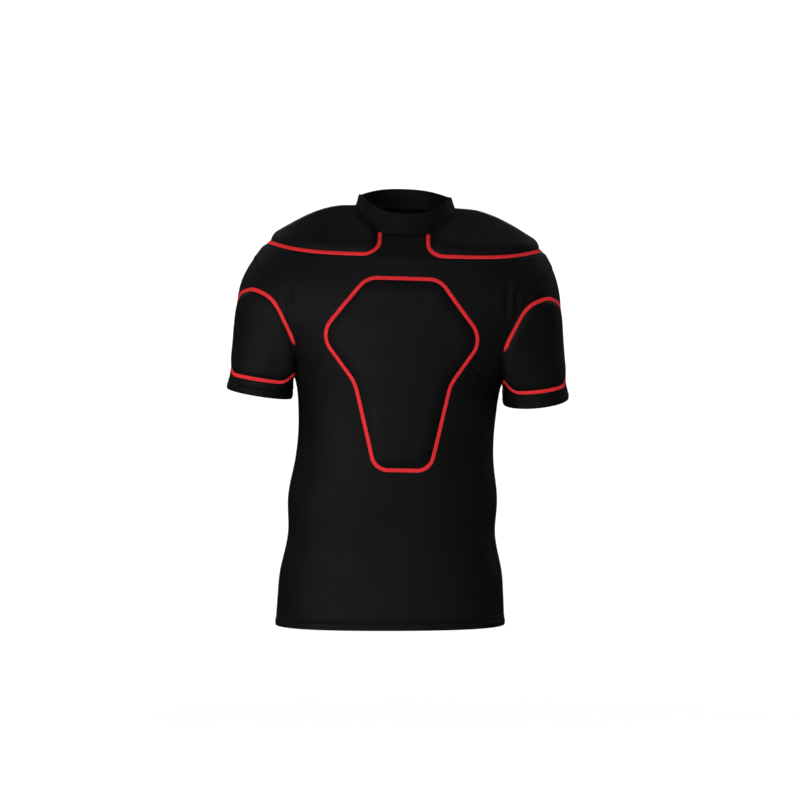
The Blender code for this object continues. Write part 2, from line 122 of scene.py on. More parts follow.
def signed_power(value: Array, power: Array | float) -> Array:
    """Power of a value that keeps its sign."""
    return np.sign(value) * np.abs(value) ** power


def hermite(start: Array, end: Array, leave: Array, arrive: Array, along: Array) -> Array:
    """Cubic curve between two values with given end slopes.

    Args:
        start: Values at share 0.
        end: Values at share 1.
        leave: Slopes at share 0.
        arrive: Slopes at share 1.
        along: Shares from 0 to 1.

    Returns:
        The curve's values.
    """
    square = along * along
    cube = square * along
    return (
        (2.0 * cube - 3.0 * square + 1.0) * start
        + (cube - 2.0 * square + along) * leave
        + (3.0 * square - 2.0 * cube) * end
        + (cube - square) * arrive
    )


def smooth_curve(rows: Table, at: Array) -> Array:
    """Second column of a two-column table at values of its first, on a smooth curve through its rows.

    Args:
        rows: The table, with its first column rising.
        at: Values of the first column.

    Returns:
        Values of the second column.
    """
    first, second = np.array(rows).T
    slopes = np.gradient(second, first)
    low = np.clip(np.searchsorted(first, at, side="right") - 1, 0, len(first) - 2)
    span = first[low + 1] - first[low]
    along = np.clip((at - first[low]) / span, 0.0, 1.0)
    return hermite(second[low], second[low + 1], slopes[low] * span, slopes[low + 1] * span, along)


def steps_along(points: Array, axis: int) -> Array:
    """Distance run along one axis of a grid of points, 0 at its start.

    Args:
        points: Grid of points, or one line of them.
        axis: Axis to run along.

    Returns:
        Distances, one for each point.
    """
    steps = np.linalg.norm(np.diff(points, axis=axis), axis=-1)
    pad = [(1, 0) if index == axis else (0, 0) for index in range(steps.ndim)]
    return np.cumsum(np.pad(steps, pad), axis=axis)


def nearest(points: Array, line: Array) -> Array:
    """Distance from each point to the nearest point of a closely spaced line.

    Args:
        points: Points in an array of any shape.
        line: Points of the line, in order.

    Returns:
        Distances in the shape of the points.
    """
    flat = points.reshape(-1, 3)
    blocks = np.array_split(flat, len(flat) // NEAREST_BLOCK + 1)
    found = [np.sqrt(((block[:, None] - line[None]) ** 2).sum(axis=-1).min(axis=1)) for block in blocks]
    return np.concatenate(found).reshape(points.shape[:-1])


def wander(place: Array, pitch: float, seed: int) -> Array:
    """Uneven wave of about unit size, for cloth that is never quite even.

    It is the sum of four sines whose lengths spread about the pitch and whose phases come from the seed.

    Args:
        place: Distances along the cloth.
        pitch: Middle wavelength.
        seed: Chooses the phases.

    Returns:
        The wave's values.
    """
    chance = np.random.default_rng(seed)
    lengths = pitch * np.array((0.61, 0.93, 1.37, 2.15))
    phases = chance.uniform(0.0, FULL_TURN, len(lengths))
    weights = np.array((0.45, 0.7, 0.75, 0.6))
    waves = np.sin(FULL_TURN * np.asarray(place)[..., None] / lengths + phases)
    return (waves * weights).sum(axis=-1) / weights.sum()


@dataclass(frozen=True)
class Stance:
    """Worn pose of the whole top: it leans and turns a little to the left, and its left shoulder is lower.

    Lean rows hold a height and the sideways shift there. The roll fades out from the shoulders to the hem.
    """

    hem: float = -0.659
    lean: Table = (
        (-0.659, -0.0160),
        (-0.450, -0.0115),
        (-0.300, -0.0035),
        (-0.120, 0.0005),
        (-0.045, 0.0086),
        (0.040, 0.0080),
    )
    twist: float = math.radians(1.4)
    roll: float = math.radians(1.7)
    roll_height: float = 0.42

    def pose(self, points: Array) -> Array:
        """Bring upright points into the pose.

        Args:
            points: Points in an array whose last axis is X, Y, Z.

        Returns:
            The posed points.
        """
        x, y, z = np.moveaxis(points, -1, 0)
        slope = math.tan(self.roll) * ease((z - self.hem) / self.roll_height)
        turned_x = x * math.cos(self.twist) - y * math.sin(self.twist)
        turned_y = x * math.sin(self.twist) + y * math.cos(self.twist)
        return np.stack((turned_x + smooth_curve(self.lean, z), turned_y, z - x * slope), axis=-1)


STANCE = Stance()


@dataclass(frozen=True)
class Patch:
    """Points of a surface with their outward unit normals, in arrays of one shape."""

    points: Array
    normals: Array

    def lifted(self, distance: Array | float) -> Array:
        """Points moved out along their normals."""
        return self.points + self.normals * np.asarray(distance)[..., None]

    def raised(self, distance: Array | float) -> Patch:
        """Same patch, moved out along its normals."""
        return Patch(self.lifted(distance), self.normals)

    def mirrored(self, side: Side) -> Patch:
        """Patch of the left side, or the same on the right side."""
        turn = np.array((side.value, 1.0, 1.0))
        return Patch(self.points * turn, self.normals * turn)

    def spaced(self, pitch: float, rounding: int = 0) -> Patch:
        """Line of points set out again at even distances.

        Args:
            pitch: Wanted distance between points.
            rounding: How many neighbours on each side are averaged, which rounds the line's corners.

        Returns:
            The evenly spaced line, with both its ends.
        """
        run = steps_along(self.points, 0)
        even = np.linspace(0.0, run[-1], max(2, int(round(run[-1] / pitch)) + 1))
        both = np.concatenate((self.points, self.normals), axis=-1)
        line = np.stack([np.interp(even, run, column) for column in both.T], axis=-1)
        closed = np.linalg.norm(line[0, :3] - line[-1, :3]) < pitch
        if rounding:
            edge = (line[-rounding - 1:-1], line[1:rounding + 1]) if closed else (line[:1], line[-1:])
            before, after = (np.broadcast_to(part, (rounding, 6)) for part in edge)
            padded = np.concatenate((before, line, after))
            total = np.cumsum(np.concatenate((np.zeros((1, 6)), padded)), axis=0)
            span = 2 * rounding + 1
            mean = (total[span:] - total[:-span]) / span
            line = mean if closed else np.concatenate((line[:1], mean[1:-1], line[-1:]))
        return Patch(line[:, :3], unit(line[:, 3:]))


def surface_patch(
    surface: Callable[[Array, Array], Array], first: Array, second: Array, sign: float
) -> Patch:
    """Points and normals of a surface of two parameters, the normals by central differences.

    Args:
        surface: Gives points for two arrays of parameters.
        first: First parameter.
        second: Second parameter.
        sign: 1 or -1, whichever turns the normals outward.

    Returns:
        The patch.
    """
    by_first = surface(first + SLOPE_STEP, second) - surface(first - SLOPE_STEP, second)
    by_second = surface(first, second + SLOPE_STEP) - surface(first, second - SLOPE_STEP)
    return Patch(surface(first, second), sign * unit(np.cross(by_first, by_second)))


def ring(turn: Array, size: dict[str, Array], rise_power: float) -> Array:
    """Points of superellipse rings: x = half_width cos^(2/n) and y = -depth sin^(2/n), with n the squareness.

    The height is the level at the sides plus a rise that grows towards the middle of the front and the back.

    Args:
        turn: Angle round the ring: 0 at the left side, a quarter in front, minus a quarter behind.
        size: Sizes of the rings, by column name.
        rise_power: How late the rise flattens out.

    Returns:
        The points.
    """
    cosine, sine = np.cos(turn), np.sin(turn)
    power = 2.0 / size["squareness"]
    depth = np.where(sine > 0.0, size["front"], size["back"])
    rise = np.where(sine > 0.0, size["rise_front"], size["rise_back"])
    x = size["half_width"] * signed_power(cosine, power)
    y = -depth * signed_power(sine, power)
    z = size["level"] + rise * (1.0 - np.abs(cosine) ** rise_power)
    return np.stack(np.broadcast_arrays(x, y, z), axis=-1)


@dataclass(frozen=True)
class BodyForm:
    """Body of the worn top as rings from the hem (row 0) up to the neck seam (last row)."""

    rows: Table = (
        (-0.659, -0.001, 0.000, 0.1820, 0.114, 0.120, 2.40),
        (-0.611, 0.000, 0.000, 0.1795, 0.112, 0.116, 2.40),
        (-0.573, 0.000, 0.000, 0.1762, 0.110, 0.110, 2.40),
        (-0.515, 0.000, 0.000, 0.1648, 0.107, 0.100, 2.40),
        (-0.455, 0.000, 0.000, 0.1662, 0.107, 0.097, 2.40),
        (-0.390, 0.000, 0.000, 0.1570, 0.109, 0.100, 2.35),
        (-0.330, 0.000, 0.000, 0.1565, 0.114, 0.108, 2.30),
        (-0.268, 0.000, 0.000, 0.1655, 0.120, 0.118, 2.25),
        (-0.220, 0.000, 0.000, 0.1950, 0.122, 0.124, 2.20),
        (-0.174, -0.002, -0.002, 0.2400, 0.121, 0.129, 2.15),
        (-0.131, -0.006, -0.006, 0.2565, 0.1185, 0.131, 2.10),
        (-0.100, -0.012, -0.014, 0.2475, 0.115, 0.130, 2.10),
        (-0.070, -0.0185, -0.022, 0.2310, 0.110, 0.127, 2.10),
        (-0.056, -0.0195, -0.024, 0.2170, 0.106, 0.124, 2.10),
        (-0.021, -0.040, -0.024, 0.1580, 0.095, 0.110, 2.10),
        (-0.005, -0.0445, -0.010, 0.1170, 0.083, 0.090, 2.05),
        (-0.001, -0.0395, 0.013, 0.0825, 0.072, 0.066, 2.05),
    )
    rise_power: float = 4.5
    solve_steps: int = 14
    level_steps: int = 1601

    @property
    def last(self) -> float:
        """Number of the neck seam's row."""
        return len(self.rows) - 1.0

    @property
    def hem(self) -> float:
        """Height of the hem's edge at the sides."""
        return self.rows[0][0]

    def sizes(self, at: Array) -> dict[str, Array]:
        """Sizes of the rings at fractional rows, on smooth curves through the table.

        Args:
            at: Fractional row numbers.

        Returns:
            Arrays by column name.
        """
        table = np.array(self.rows)
        slopes = np.gradient(table, axis=0)
        low = np.clip(np.floor(at).astype(int), 0, len(table) - 2)
        share = (at - low)[..., None]
        found = hermite(table[low], table[low + 1], slopes[low], slopes[low + 1], share)
        return dict(zip(RING_COLUMNS, np.moveaxis(found, -1, 0)))

    def row_at(self, level: Array) -> Array:
        """Fractional rows at heights of the side."""
        fine = np.linspace(0.0, self.last, self.level_steps)
        return np.interp(level, self.sizes(fine)["level"], fine)

    def point(self, turn: Array, at: Array) -> Array:
        """Points of the body, by the turn, as for ring, and fractional row numbers."""
        return ring(turn, self.sizes(at), self.rise_power)

    def patch(self, turn: Array, at: Array) -> Patch:
        """Points and normals of the body; both arguments are as for point."""
        held = np.clip(at, SLOPE_STEP, self.last - SLOPE_STEP)
        return Patch(self.point(turn, at), surface_patch(self.point, turn, held, -1.0).normals)

    def turn_of_reach(self, reach: Array, at: Array, face: Face) -> Array:
        """Turns at which rings lie a given distance in front of the side, or behind it.

        Args:
            reach: Distances from the side, along Y.
            at: Fractional row numbers.
            face: Panel on which the places lie.

        Returns:
            Turns from 0 to a quarter.
        """
        size = self.sizes(at)
        depth = size["front"] if face is Face.FRONT else size["back"]
        return np.arcsin(np.clip(reach / depth, 0.0, 1.0) ** (size["squareness"] / 2.0))

    def front_place(self, x: Array, z: Array) -> tuple[Array, Array]:
        """Places of the front panel that have given widths and heights.

        Args:
            x: Distances from the middle.
            z: Heights.

        Returns:
            Turns and fractional rows.
        """
        at = self.row_at(z)
        turn = np.full_like(at, QUARTER)
        for _ in range(self.solve_steps):
            size = self.sizes(at)
            share = np.clip(x / size["half_width"], -1.0, 1.0)
            turn = np.arccos(signed_power(share, size["squareness"] / 2.0))
            at = self.row_at(size["level"] + z - self.point(turn, at)[..., 2])
        return turn, at


@dataclass(frozen=True)
class ArmholeForm:
    """Armhole seam: an oval seen from the side, cut out of the body's rings."""

    body: BodyForm
    top: float = -0.080
    bottom: float = -0.268
    front: float = 0.084
    back: float = 0.085
    seat: float = 0.0005

    def level(self, angle: Array) -> Array:
        """Side heights round the armhole; the angle is 0 on top and a quarter in front."""
        return 0.5 * (self.top + self.bottom) + 0.5 * (self.top - self.bottom) * np.cos(angle)

    def patch(self, angle: Array) -> Patch:
        """Seam of the left armhole.

        Args:
            angle: Angles round it: 0 on top, a quarter in front, a half under the arm.

        Returns:
            Points of the seam with the body's normals.
        """
        at = self.body.row_at(self.level(angle))
        ahead = self.body.turn_of_reach(self.front * np.abs(np.sin(angle)), at, Face.FRONT)
        behind = self.body.turn_of_reach(self.back * np.abs(np.sin(angle)), at, Face.BACK)
        found = self.body.patch(np.where(np.sin(angle) >= 0.0, ahead, -behind), at)
        return found.raised(self.seat * ease(-np.cos(angle)))


@dataclass(frozen=True)
class SleeveForm:
    """Left sleeve from its armhole to an oval cuff that faces along the cuff line.

    A thread of the sleeve leaves the armhole along the body's own slope, or along the underarm line below,
    and bends into the arm's line at the cuff: point = start + t d + t (1-t)^fade (leave - d)
    + t^2 (t-1) (arrive - d), with d the straight way between its ends.
    """

    armhole: ArmholeForm
    cuff_centre: Place = (0.2215, 0.006, -0.2965)
    cuff_half_width: float = 0.0515
    cuff_half_depth: float = 0.0545
    arm_line: Place = (0.130, 0.095, -0.987)
    cuff_line: Place = (0.130, 0.095, -0.987)
    underarm_line: Place = (0.350, 0.000, -0.937)
    pull_under: float = 0.75
    pull_top: float = 1.84
    fade: float = 4.5
    fold_starts: float = 0.10
    fold_ends: float = -0.75

    def ends(self, angle: Array) -> tuple[Array, Array, Array, Array]:
        """Both ends of the sleeve's threads.

        Args:
            angle: Angles round the sleeve: 0 outside, a quarter in front.

        Returns:
            Start points, end points, and the slopes in which the threads leave and arrive.
        """
        seam = self.armhole.patch(angle)
        ahead, behind = (self.armhole.patch(angle + step).points for step in (SLOPE_STEP, -SLOPE_STEP))
        inward = unit(np.cross(seam.normals, ahead - behind))
        arm, faces = unit(np.array(self.arm_line)), unit(np.array(self.cuff_line))
        outside = unit(np.cross((0.0, 1.0, 0.0), -faces))
        front = np.cross(outside, -faces)
        cosine, sine = np.cos(angle)[..., None], np.sin(angle)[..., None]
        end = (
            np.array(self.cuff_centre)
            + self.cuff_half_width * cosine * outside
            + self.cuff_half_depth * sine * front
        )
        smooth = ease((cosine - self.fold_ends) / (self.fold_starts - self.fold_ends))
        leave = unit(smooth * inward + (1.0 - smooth) * unit(np.array(self.underarm_line)))
        length = np.linalg.norm(end - seam.points, axis=-1, keepdims=True)
        pull = self.pull_under + (self.pull_top - self.pull_under) * ease(cosine)
        return seam.points, end, leave * length * pull, arm * length * self.pull_under

    def point(self, angle: Array, along: Array) -> Array:
        """Points of the sleeve, on the curves that the class describes.

        Args:
            angle: Angles round the sleeve, as for ends.
            along: Shares of its length, 0 at the armhole and 1 at the cuff's edge.

        Returns:
            The points.
        """
        start, end, leave, arrive = self.ends(angle)
        straight = end - start
        share = np.asarray(along)[..., None]
        opening = share * (1.0 - share) ** self.fade * (leave - straight)
        closing = share ** 2 * (share - 1.0) * (arrive - straight)
        return start + share * straight + opening + closing

    def patch(self, angle: Array, along: Array) -> Patch:
        """Points and normals of the sleeve; both arguments are as for point."""
        held = np.clip(along, SLOPE_STEP, 1.0 - SLOPE_STEP)
        return Patch(self.point(angle, along), surface_patch(self.point, angle, held, 1.0).normals)

    def above_cuff(self, angle: Array, distance: Array | float) -> Array:
        """Shares of the sleeve's length that end a given distance above the cuff's edge."""
        arrive = self.ends(angle)[3]
        return 1.0 - distance / np.linalg.norm(arrive, axis=-1)


@dataclass(frozen=True)
class CollarForm:
    """High collar from the neck seam to its own top edge, straight between the two.

    The top edge is one ring, with the columns of the body's rows.
    """

    body: BodyForm
    gap: float = 0.0003
    top: tuple[float, ...] = (0.0265, -0.0340, 0.0155, 0.0735, 0.066, 0.061, 2.05)
    rise_power: float = 2.5

    def point(self, turn: Array, up: Array) -> Array:
        """Points of the collar.

        Args:
            turn: Angle round the neck, as for ring.
            up: Share of the height, 0 at the neck seam and 1 at the top edge.

        Returns:
            The points.
        """
        foot = self.body.point(turn, np.full(np.shape(turn), self.body.last)) + np.array((0.0, 0.0, self.gap))
        edge = ring(turn, dict(zip(RING_COLUMNS, self.top)), self.rise_power)
        return foot + (edge - foot) * np.asarray(up)[..., None]

    def patch(self, turn: Array, up: Array) -> Patch:
        """Points and normals of the collar; both arguments are as for point."""
        return surface_patch(self.point, turn, up, -1.0)


@dataclass(frozen=True)
class Crease:
    """One soft trough of the cloth with a lower ridge beside it, or a ridge where its depth is negative.

    Across it the height is a bell curve -depth exp(-(q/width)^2) with a share of that raised beside it. Along
    it the height swells and dies away, most at the share called peak. Places are two coordinates in metres.
    The ridge's place and width are counted in widths of the trough.
    """

    start: tuple[float, float]
    end: tuple[float, float]
    width: float
    depth: float
    bow: float
    peak: float
    swell_power: float = 1.3
    ridge: float = 0.34
    ridge_place: float = 2.1
    ridge_width: float = 1.2

    def relief(self, first: Array, second: Array) -> Array:
        """Outward offsets that the crease makes.

        Args:
            first: First coordinate of the places.
            second: Second coordinate of the places.

        Returns:
            Offsets, below zero in a trough.
        """
        run = np.subtract(self.end, self.start)
        length = math.hypot(*run)
        ahead = run / length
        by_first, by_second = first - self.start[0], second - self.start[1]
        share = np.clip((by_first * ahead[0] + by_second * ahead[1]) / length, 0.0, 1.0)
        bend = 4.0 * self.bow * share * (1.0 - share)
        aside = by_second * ahead[0] - by_first * ahead[1] - bend
        power = math.log(0.5) / math.log(self.peak)
        swell = np.sin(math.pi * share ** power) ** self.swell_power
        beside = bell(aside - self.ridge_place * self.width, self.ridge_width * self.width)
        return swell * self.depth * (self.ridge * beside - bell(aside, self.width))


def creased(creases: Sequence[Crease], first: Array, second: Array) -> Array:
    """Offsets of several creases together; the arguments are as for Crease.relief."""
    return sum((crease.relief(first, second) for crease in creases), np.zeros(np.shape(first)))


def linked(name: str, data: bpy.types.ID) -> bpy.types.Object:
    """New object in the scene.

    Args:
        name: Name of the object.
        data: Its mesh, light or camera.

    Returns:
        The object.
    """
    piece = bpy.data.objects.new(name, data)
    bpy.context.scene.collection.objects.link(piece)
    return piece


def make_object(
    name: str, points: Array, faces: Sequence[Array], uv: Array | None = None, worn: bool = True
) -> bpy.types.Object:
    """New smooth mesh object.

    Args:
        name: Name of the object and its mesh.
        points: Upright points.
        faces: Arrays of corner numbers, one array for each count of corners.
        uv: Cloth coordinates in metres, one pair for each corner of each face.
        worn: Whether to bring the points into the worn stance.

    Returns:
        The object.
    """
    mesh = bpy.data.meshes.new(name)
    corners = np.concatenate([block.ravel() for block in faces])
    counts = np.concatenate([np.full(len(block), block.shape[1]) for block in faces])
    mesh.vertices.add(len(points))
    mesh.vertices.foreach_set("co", (STANCE.pose(points) if worn else points).ravel())
    mesh.loops.add(len(corners))
    mesh.loops.foreach_set("vertex_index", corners)
    mesh.polygons.add(len(counts))
    mesh.polygons.foreach_set("loop_start", np.cumsum(counts) - counts)
    if uv is not None:
        mesh.uv_layers.new(name=UV_NAME).data.foreach_set("uv", uv.ravel())
    mesh.update(calc_edges=True)
    mesh.shade_smooth()
    return linked(name, mesh)


@dataclass(frozen=True)
class Wall:
    """Closed wall between two grids of points; a closed grid joins its last column to its first."""

    outer: Array
    inner: Array
    closed: bool = False

    def cells(self) -> Array:
        """Numbers of the grid's places; a closed grid has its first column once more at the end."""
        rows, columns = self.outer.shape[:2]
        return np.arange(rows * (columns + self.closed)).reshape(rows, columns + self.closed)

    def quads(self) -> Array:
        """Corners of every face: outside, inside, and the rims between them.

        Returns:
            Four place numbers for each face; those of the inner layer follow the outer ones.
        """
        cell = self.cells()
        count = cell.size
        left, right = cell[:, :-1], cell[:, 1:]
        outside = np.stack((left[:-1], right[:-1], right[1:], left[1:]), axis=-1).reshape(-1, 4)
        blocks = [
            outside,
            outside[:, ::-1] + count,
            np.stack((left[0], left[0] + count, right[0] + count, right[0]), axis=-1),
            np.stack((left[-1], right[-1], right[-1] + count, left[-1] + count), axis=-1),
        ]
        if not self.closed:
            low, high = cell[:-1, 0], cell[1:, 0]
            blocks.append(np.stack((low, high, high + count, low + count), axis=-1))
            low, high = cell[:-1, -1], cell[1:, -1]
            blocks.append(np.stack((low, low + count, high + count, high), axis=-1))
        return np.concatenate(blocks)

    def cloth(self) -> Array:
        """Cloth coordinates of the grid's places.

        Returns:
            Distances across from the middle column, and distances along.
        """
        grid = np.concatenate((self.outer, self.outer[:, :1]), axis=1) if self.closed else self.outer
        across = steps_along(grid, ACROSS)
        return np.stack((across - across[:, across.shape[1] // 2, None], steps_along(grid, ALONG)), axis=-1)

    def parts(self) -> tuple[Array, Array, Array]:
        """Mesh of the wall, with its faces turned outward.

        Returns:
            Points, faces, and the cloth coordinates of each face's corners.
        """
        rows, columns = self.outer.shape[:2]
        wide = columns + self.closed
        layer, place = np.divmod(self.quads(), rows * wide)
        row, column = np.divmod(place, wide)
        faces = layer * rows * columns + row * columns + column % columns
        uv = self.cloth().reshape(-1, 2)[place]
        points = np.concatenate((self.outer.reshape(-1, 3), self.inner.reshape(-1, 3)))
        first, second, third, fourth = np.moveaxis(points[faces[:(rows - 1) * (wide - 1)]], 1, 0)
        facing = np.cross(third - first, fourth - second)
        outward = (self.outer - self.inner).reshape(-1, 3)[faces[:len(facing), 0]]
        if (facing * outward).sum() < 0.0:
            faces, uv = faces[:, ::-1], uv[:, ::-1]
        return points, faces, uv

    def make(self, name: str) -> bpy.types.Object:
        """New object of the wall."""
        points, faces, uv = self.parts()
        return make_object(name, points, [faces], uv)


@dataclass(frozen=True)
class Strands:
    """Many short threads of one make, as flattened tubes with rounded ends.

    Lines are the threads' middle lines, by threads, stations and XYZ, and ups the cloth's normals there. The
    radius is half a thread's width. Towards both ends it falls as sqrt(1 - |s|^end_power), to the share
    end_radius.
    """

    lines: Array
    ups: Array
    radius: float
    flatness: float = 0.8
    sides: int = 5
    end_power: float = 5.0
    end_radius: float = 0.25

    def parts(self) -> Mesh:
        """Mesh of all threads: rings carried along the lines, and a cap on each end.

        Returns:
            Points and faces.
        """
        count, stations = self.lines.shape[:2]
        ahead = unit(np.gradient(self.lines, axis=1))
        aside = unit(np.cross(ahead, self.ups))
        above = np.cross(aside, ahead)
        share = np.abs(np.linspace(-1.0, 1.0, stations))
        swell = self.radius * np.clip(np.sqrt(1.0 - share ** self.end_power), self.end_radius, 1.0)
        angle = np.linspace(0.0, FULL_TURN, self.sides, endpoint=False)[:, None]
        section = np.cos(angle) * aside[:, :, None] + self.flatness * np.sin(angle) * above[:, :, None]
        points = (self.lines[:, :, None] + swell[None, :, None, None] * section).reshape(-1, 3)
        number = np.arange(len(points)).reshape(count, stations, self.sides)
        after = np.roll(number, -1, axis=2)
        quads = np.stack((number[:, :-1], number[:, 1:], after[:, 1:], after[:, :-1]), axis=-1)
        caps = np.concatenate((number[:, 0], number[:, -1, ::-1]))
        return points, [quads.reshape(-1, 4), caps]


def gathered(parts: Sequence[Mesh]) -> Mesh:
    """Several meshes as one.

    Args:
        parts: Points and face arrays of each mesh.

    Returns:
        Points and face arrays of all of them.
    """
    offsets = np.cumsum([0] + [len(points) for points, _ in parts[:-1]])
    faces = [block + offset for (_, blocks), offset in zip(parts, offsets) for block in blocks]
    return np.concatenate([points for points, _ in parts]), faces


class Graph:
    """Node tree of a new Principled material."""

    def __init__(self, name: str) -> None:
        """Start with the Principled shader and its output.

        Args:
            name: Name of the material.
        """
        self.material = bpy.data.materials.new(name)
        self.material.use_nodes = True
        self.tree = self.material.node_tree
        self.shader = self.tree.nodes["Principled BSDF"]

    def add(self, kind: str, values: Inputs | None = None, **settings: object) -> bpy.types.Node:
        """New node.

        Args:
            kind: Node type.
            values: Values or source sockets of its inputs, by name or number.
            **settings: The node's own settings.

        Returns:
            The node.
        """
        node = self.tree.nodes.new(kind)
        for name, value in settings.items():
            setattr(node, name, value)
        self.set(node, values or {})
        return node

    def set(self, node: bpy.types.Node, values: Inputs) -> None:
        """Give a node's inputs their values, or link sockets to them.

        Args:
            node: The node.
            values: Values or source sockets, by input name or number.
        """
        for key, value in values.items():
            if isinstance(value, bpy.types.NodeSocket):
                self.tree.links.new(value, node.inputs[key])
            else:
                node.inputs[key].default_value = value

    def sum(self, operation: str, first: object, second: object = 0.0) -> bpy.types.NodeSocket:
        """Result of a Math node with one or two operands."""
        return self.add("ShaderNodeMath", {0: first, 1: second}, operation=operation).outputs[0]

    def cloud(self, scale: float, detail: float, middle: float, change: float) -> bpy.types.NodeSocket:
        """Slow noise over the object.

        Args:
            scale: Noise cells for each metre.
            detail: Octaves of the noise.
            middle: Middle value.
            change: How far the value goes from it both ways.

        Returns:
            Socket of the value.
        """
        place = self.add("ShaderNodeTexCoord").outputs["Object"]
        noise = self.add("ShaderNodeTexNoise", {"Vector": place, "Scale": scale, "Detail": detail})
        span = {"From Min": 0.3, "From Max": 0.7, "To Min": middle - change, "To Max": middle + change}
        return self.add("ShaderNodeMapRange", {"Value": noise.outputs["Fac"], **span}).outputs["Result"]

    def tinted(self, colour: Place, share: object) -> bpy.types.NodeSocket:
        """A colour made darker or lighter by a factor."""
        return self.add("ShaderNodeVectorMath", {0: colour, 3: share}, operation="SCALE").outputs["Vector"]


@dataclass(frozen=True)
class KnitFinish:
    """Fine stretch knit: wales of small V stitches and a slow change of tone and gloss.

    Pitches are in metres of cloth. The stitch height is a sine along the wale whose phase lags towards the
    wale's edges, which draws the V, lowered between the wales.
    """

    name: str
    colour: Place
    roughness: float
    specular: float
    wale: float = 0.0011
    course: float = 0.0009
    relief: float = 0.00012
    strength: float = 0.3
    stitch_height: float = 0.3
    wale_depth: float = 1.4
    tone_scale: float = 14.0
    tone_change: float = 0.1
    gloss_scale: float = 23.0
    gloss_change: float = 0.04

    def material(self) -> bpy.types.Material:
        """New material of this finish.

        Returns:
            The material.
        """
        graph = Graph(self.name)
        cloth = graph.add("ShaderNodeUVMap", uv_map=UV_NAME).outputs[0]
        place = graph.add("ShaderNodeSeparateXYZ", {0: cloth})
        wale = graph.sum("PINGPONG", graph.sum("MULTIPLY", place.outputs["X"], 1.0 / self.wale), 0.5)
        row = graph.sum("ADD", graph.sum("MULTIPLY", place.outputs["Y"], 1.0 / self.course), wale)
        wave = graph.sum("SINE", graph.sum("MULTIPLY", row, FULL_TURN))
        stitch = graph.sum("MULTIPLY", wave, self.stitch_height)
        height = graph.sum("SUBTRACT", stitch, graph.sum("MULTIPLY", wale, self.wale_depth))
        raised = {"Height": height, "Strength": self.strength, "Distance": self.relief}
        bump = graph.add("ShaderNodeBump", raised)
        graph.set(graph.shader, {
            "Base Color": graph.tinted(self.colour, graph.cloud(self.tone_scale, 2.0, 1.0, self.tone_change)),
            "Roughness": graph.cloud(self.gloss_scale, 1.0, self.roughness, self.gloss_change),
            "Specular IOR Level": self.specular,
            "Normal": bump.outputs["Normal"],
        })
        return graph.material


@dataclass(frozen=True)
class ThreadFinish:
    """Bulked sewing thread: matt, with small changes of tone from stitch to stitch."""

    name: str
    colour: Place
    roughness: float
    specular: float
    tone_scale: float = 420.0
    tone_change: float = 0.14

    def material(self) -> bpy.types.Material:
        """New material of this finish.

        Returns:
            The material.
        """
        graph = Graph(self.name)
        graph.set(graph.shader, {
            "Base Color": graph.tinted(self.colour, graph.cloud(self.tone_scale, 1.0, 1.0, self.tone_change)),
            "Roughness": self.roughness,
            "Specular IOR Level": self.specular,
        })
        return graph.material


@dataclass(frozen=True)
class StageFinish:
    """Plain pale floor and backdrop with a little light of its own, so that its far wall isn't grey."""

    name: str
    colour: Place
    glow: float

    def material(self) -> bpy.types.Material:
        """New material of this finish.

        Returns:
            The material.
        """
        graph = Graph(self.name)
        graph.set(graph.shader, {
            "Base Color": (*self.colour, 1.0),
            "Roughness": 0.9,
            "Specular IOR Level": 0.1,
            "Emission Color": (1.0, 1.0, 1.0, 1.0),
            "Emission Strength": self.glow,
        })
        return graph.material


@dataclass(frozen=True)
class Wardrobe:
    """Materials of the top, made once."""

    knit: bpy.types.Material
    collar: bpy.types.Material
    pad: bpy.types.Material
    red_thread: bpy.types.Material
    black_thread: bpy.types.Material

    @classmethod
    def made(cls) -> Wardrobe:
        """New materials for every finish of the top."""
        return cls(
            KnitFinish("black_knit", (0.0020, 0.0020, 0.0022), 0.60, 0.048).material(),
            KnitFinish("collar_knit", (0.0018, 0.0018, 0.0020), 0.64, 0.042).material(),
            KnitFinish("pad_cover", (0.0021, 0.0021, 0.0023), 0.58, 0.050).material(),
            ThreadFinish("red_thread", (0.40, 0.014, 0.018), 0.65, 0.06).material(),
            ThreadFinish("black_thread", (0.0030, 0.0030, 0.0032), 0.55, 0.06).material(),
        )


def dressed(piece: bpy.types.Object, material: bpy.types.Material, slot: str, *nodes: str) -> None:
    """Give a new piece its material and its place in the frame.

    Args:
        piece: The piece.
        material: Its material.
        slot: Slot of the record that its finish belongs to; not used.
        *nodes: Solids that it stands for.
    """
    piece.data.materials.append(material)
    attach(piece, "root")
    if nodes:
        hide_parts(*nodes)
    LOG.info("%s: %d faces", piece.name, len(piece.data.polygons))


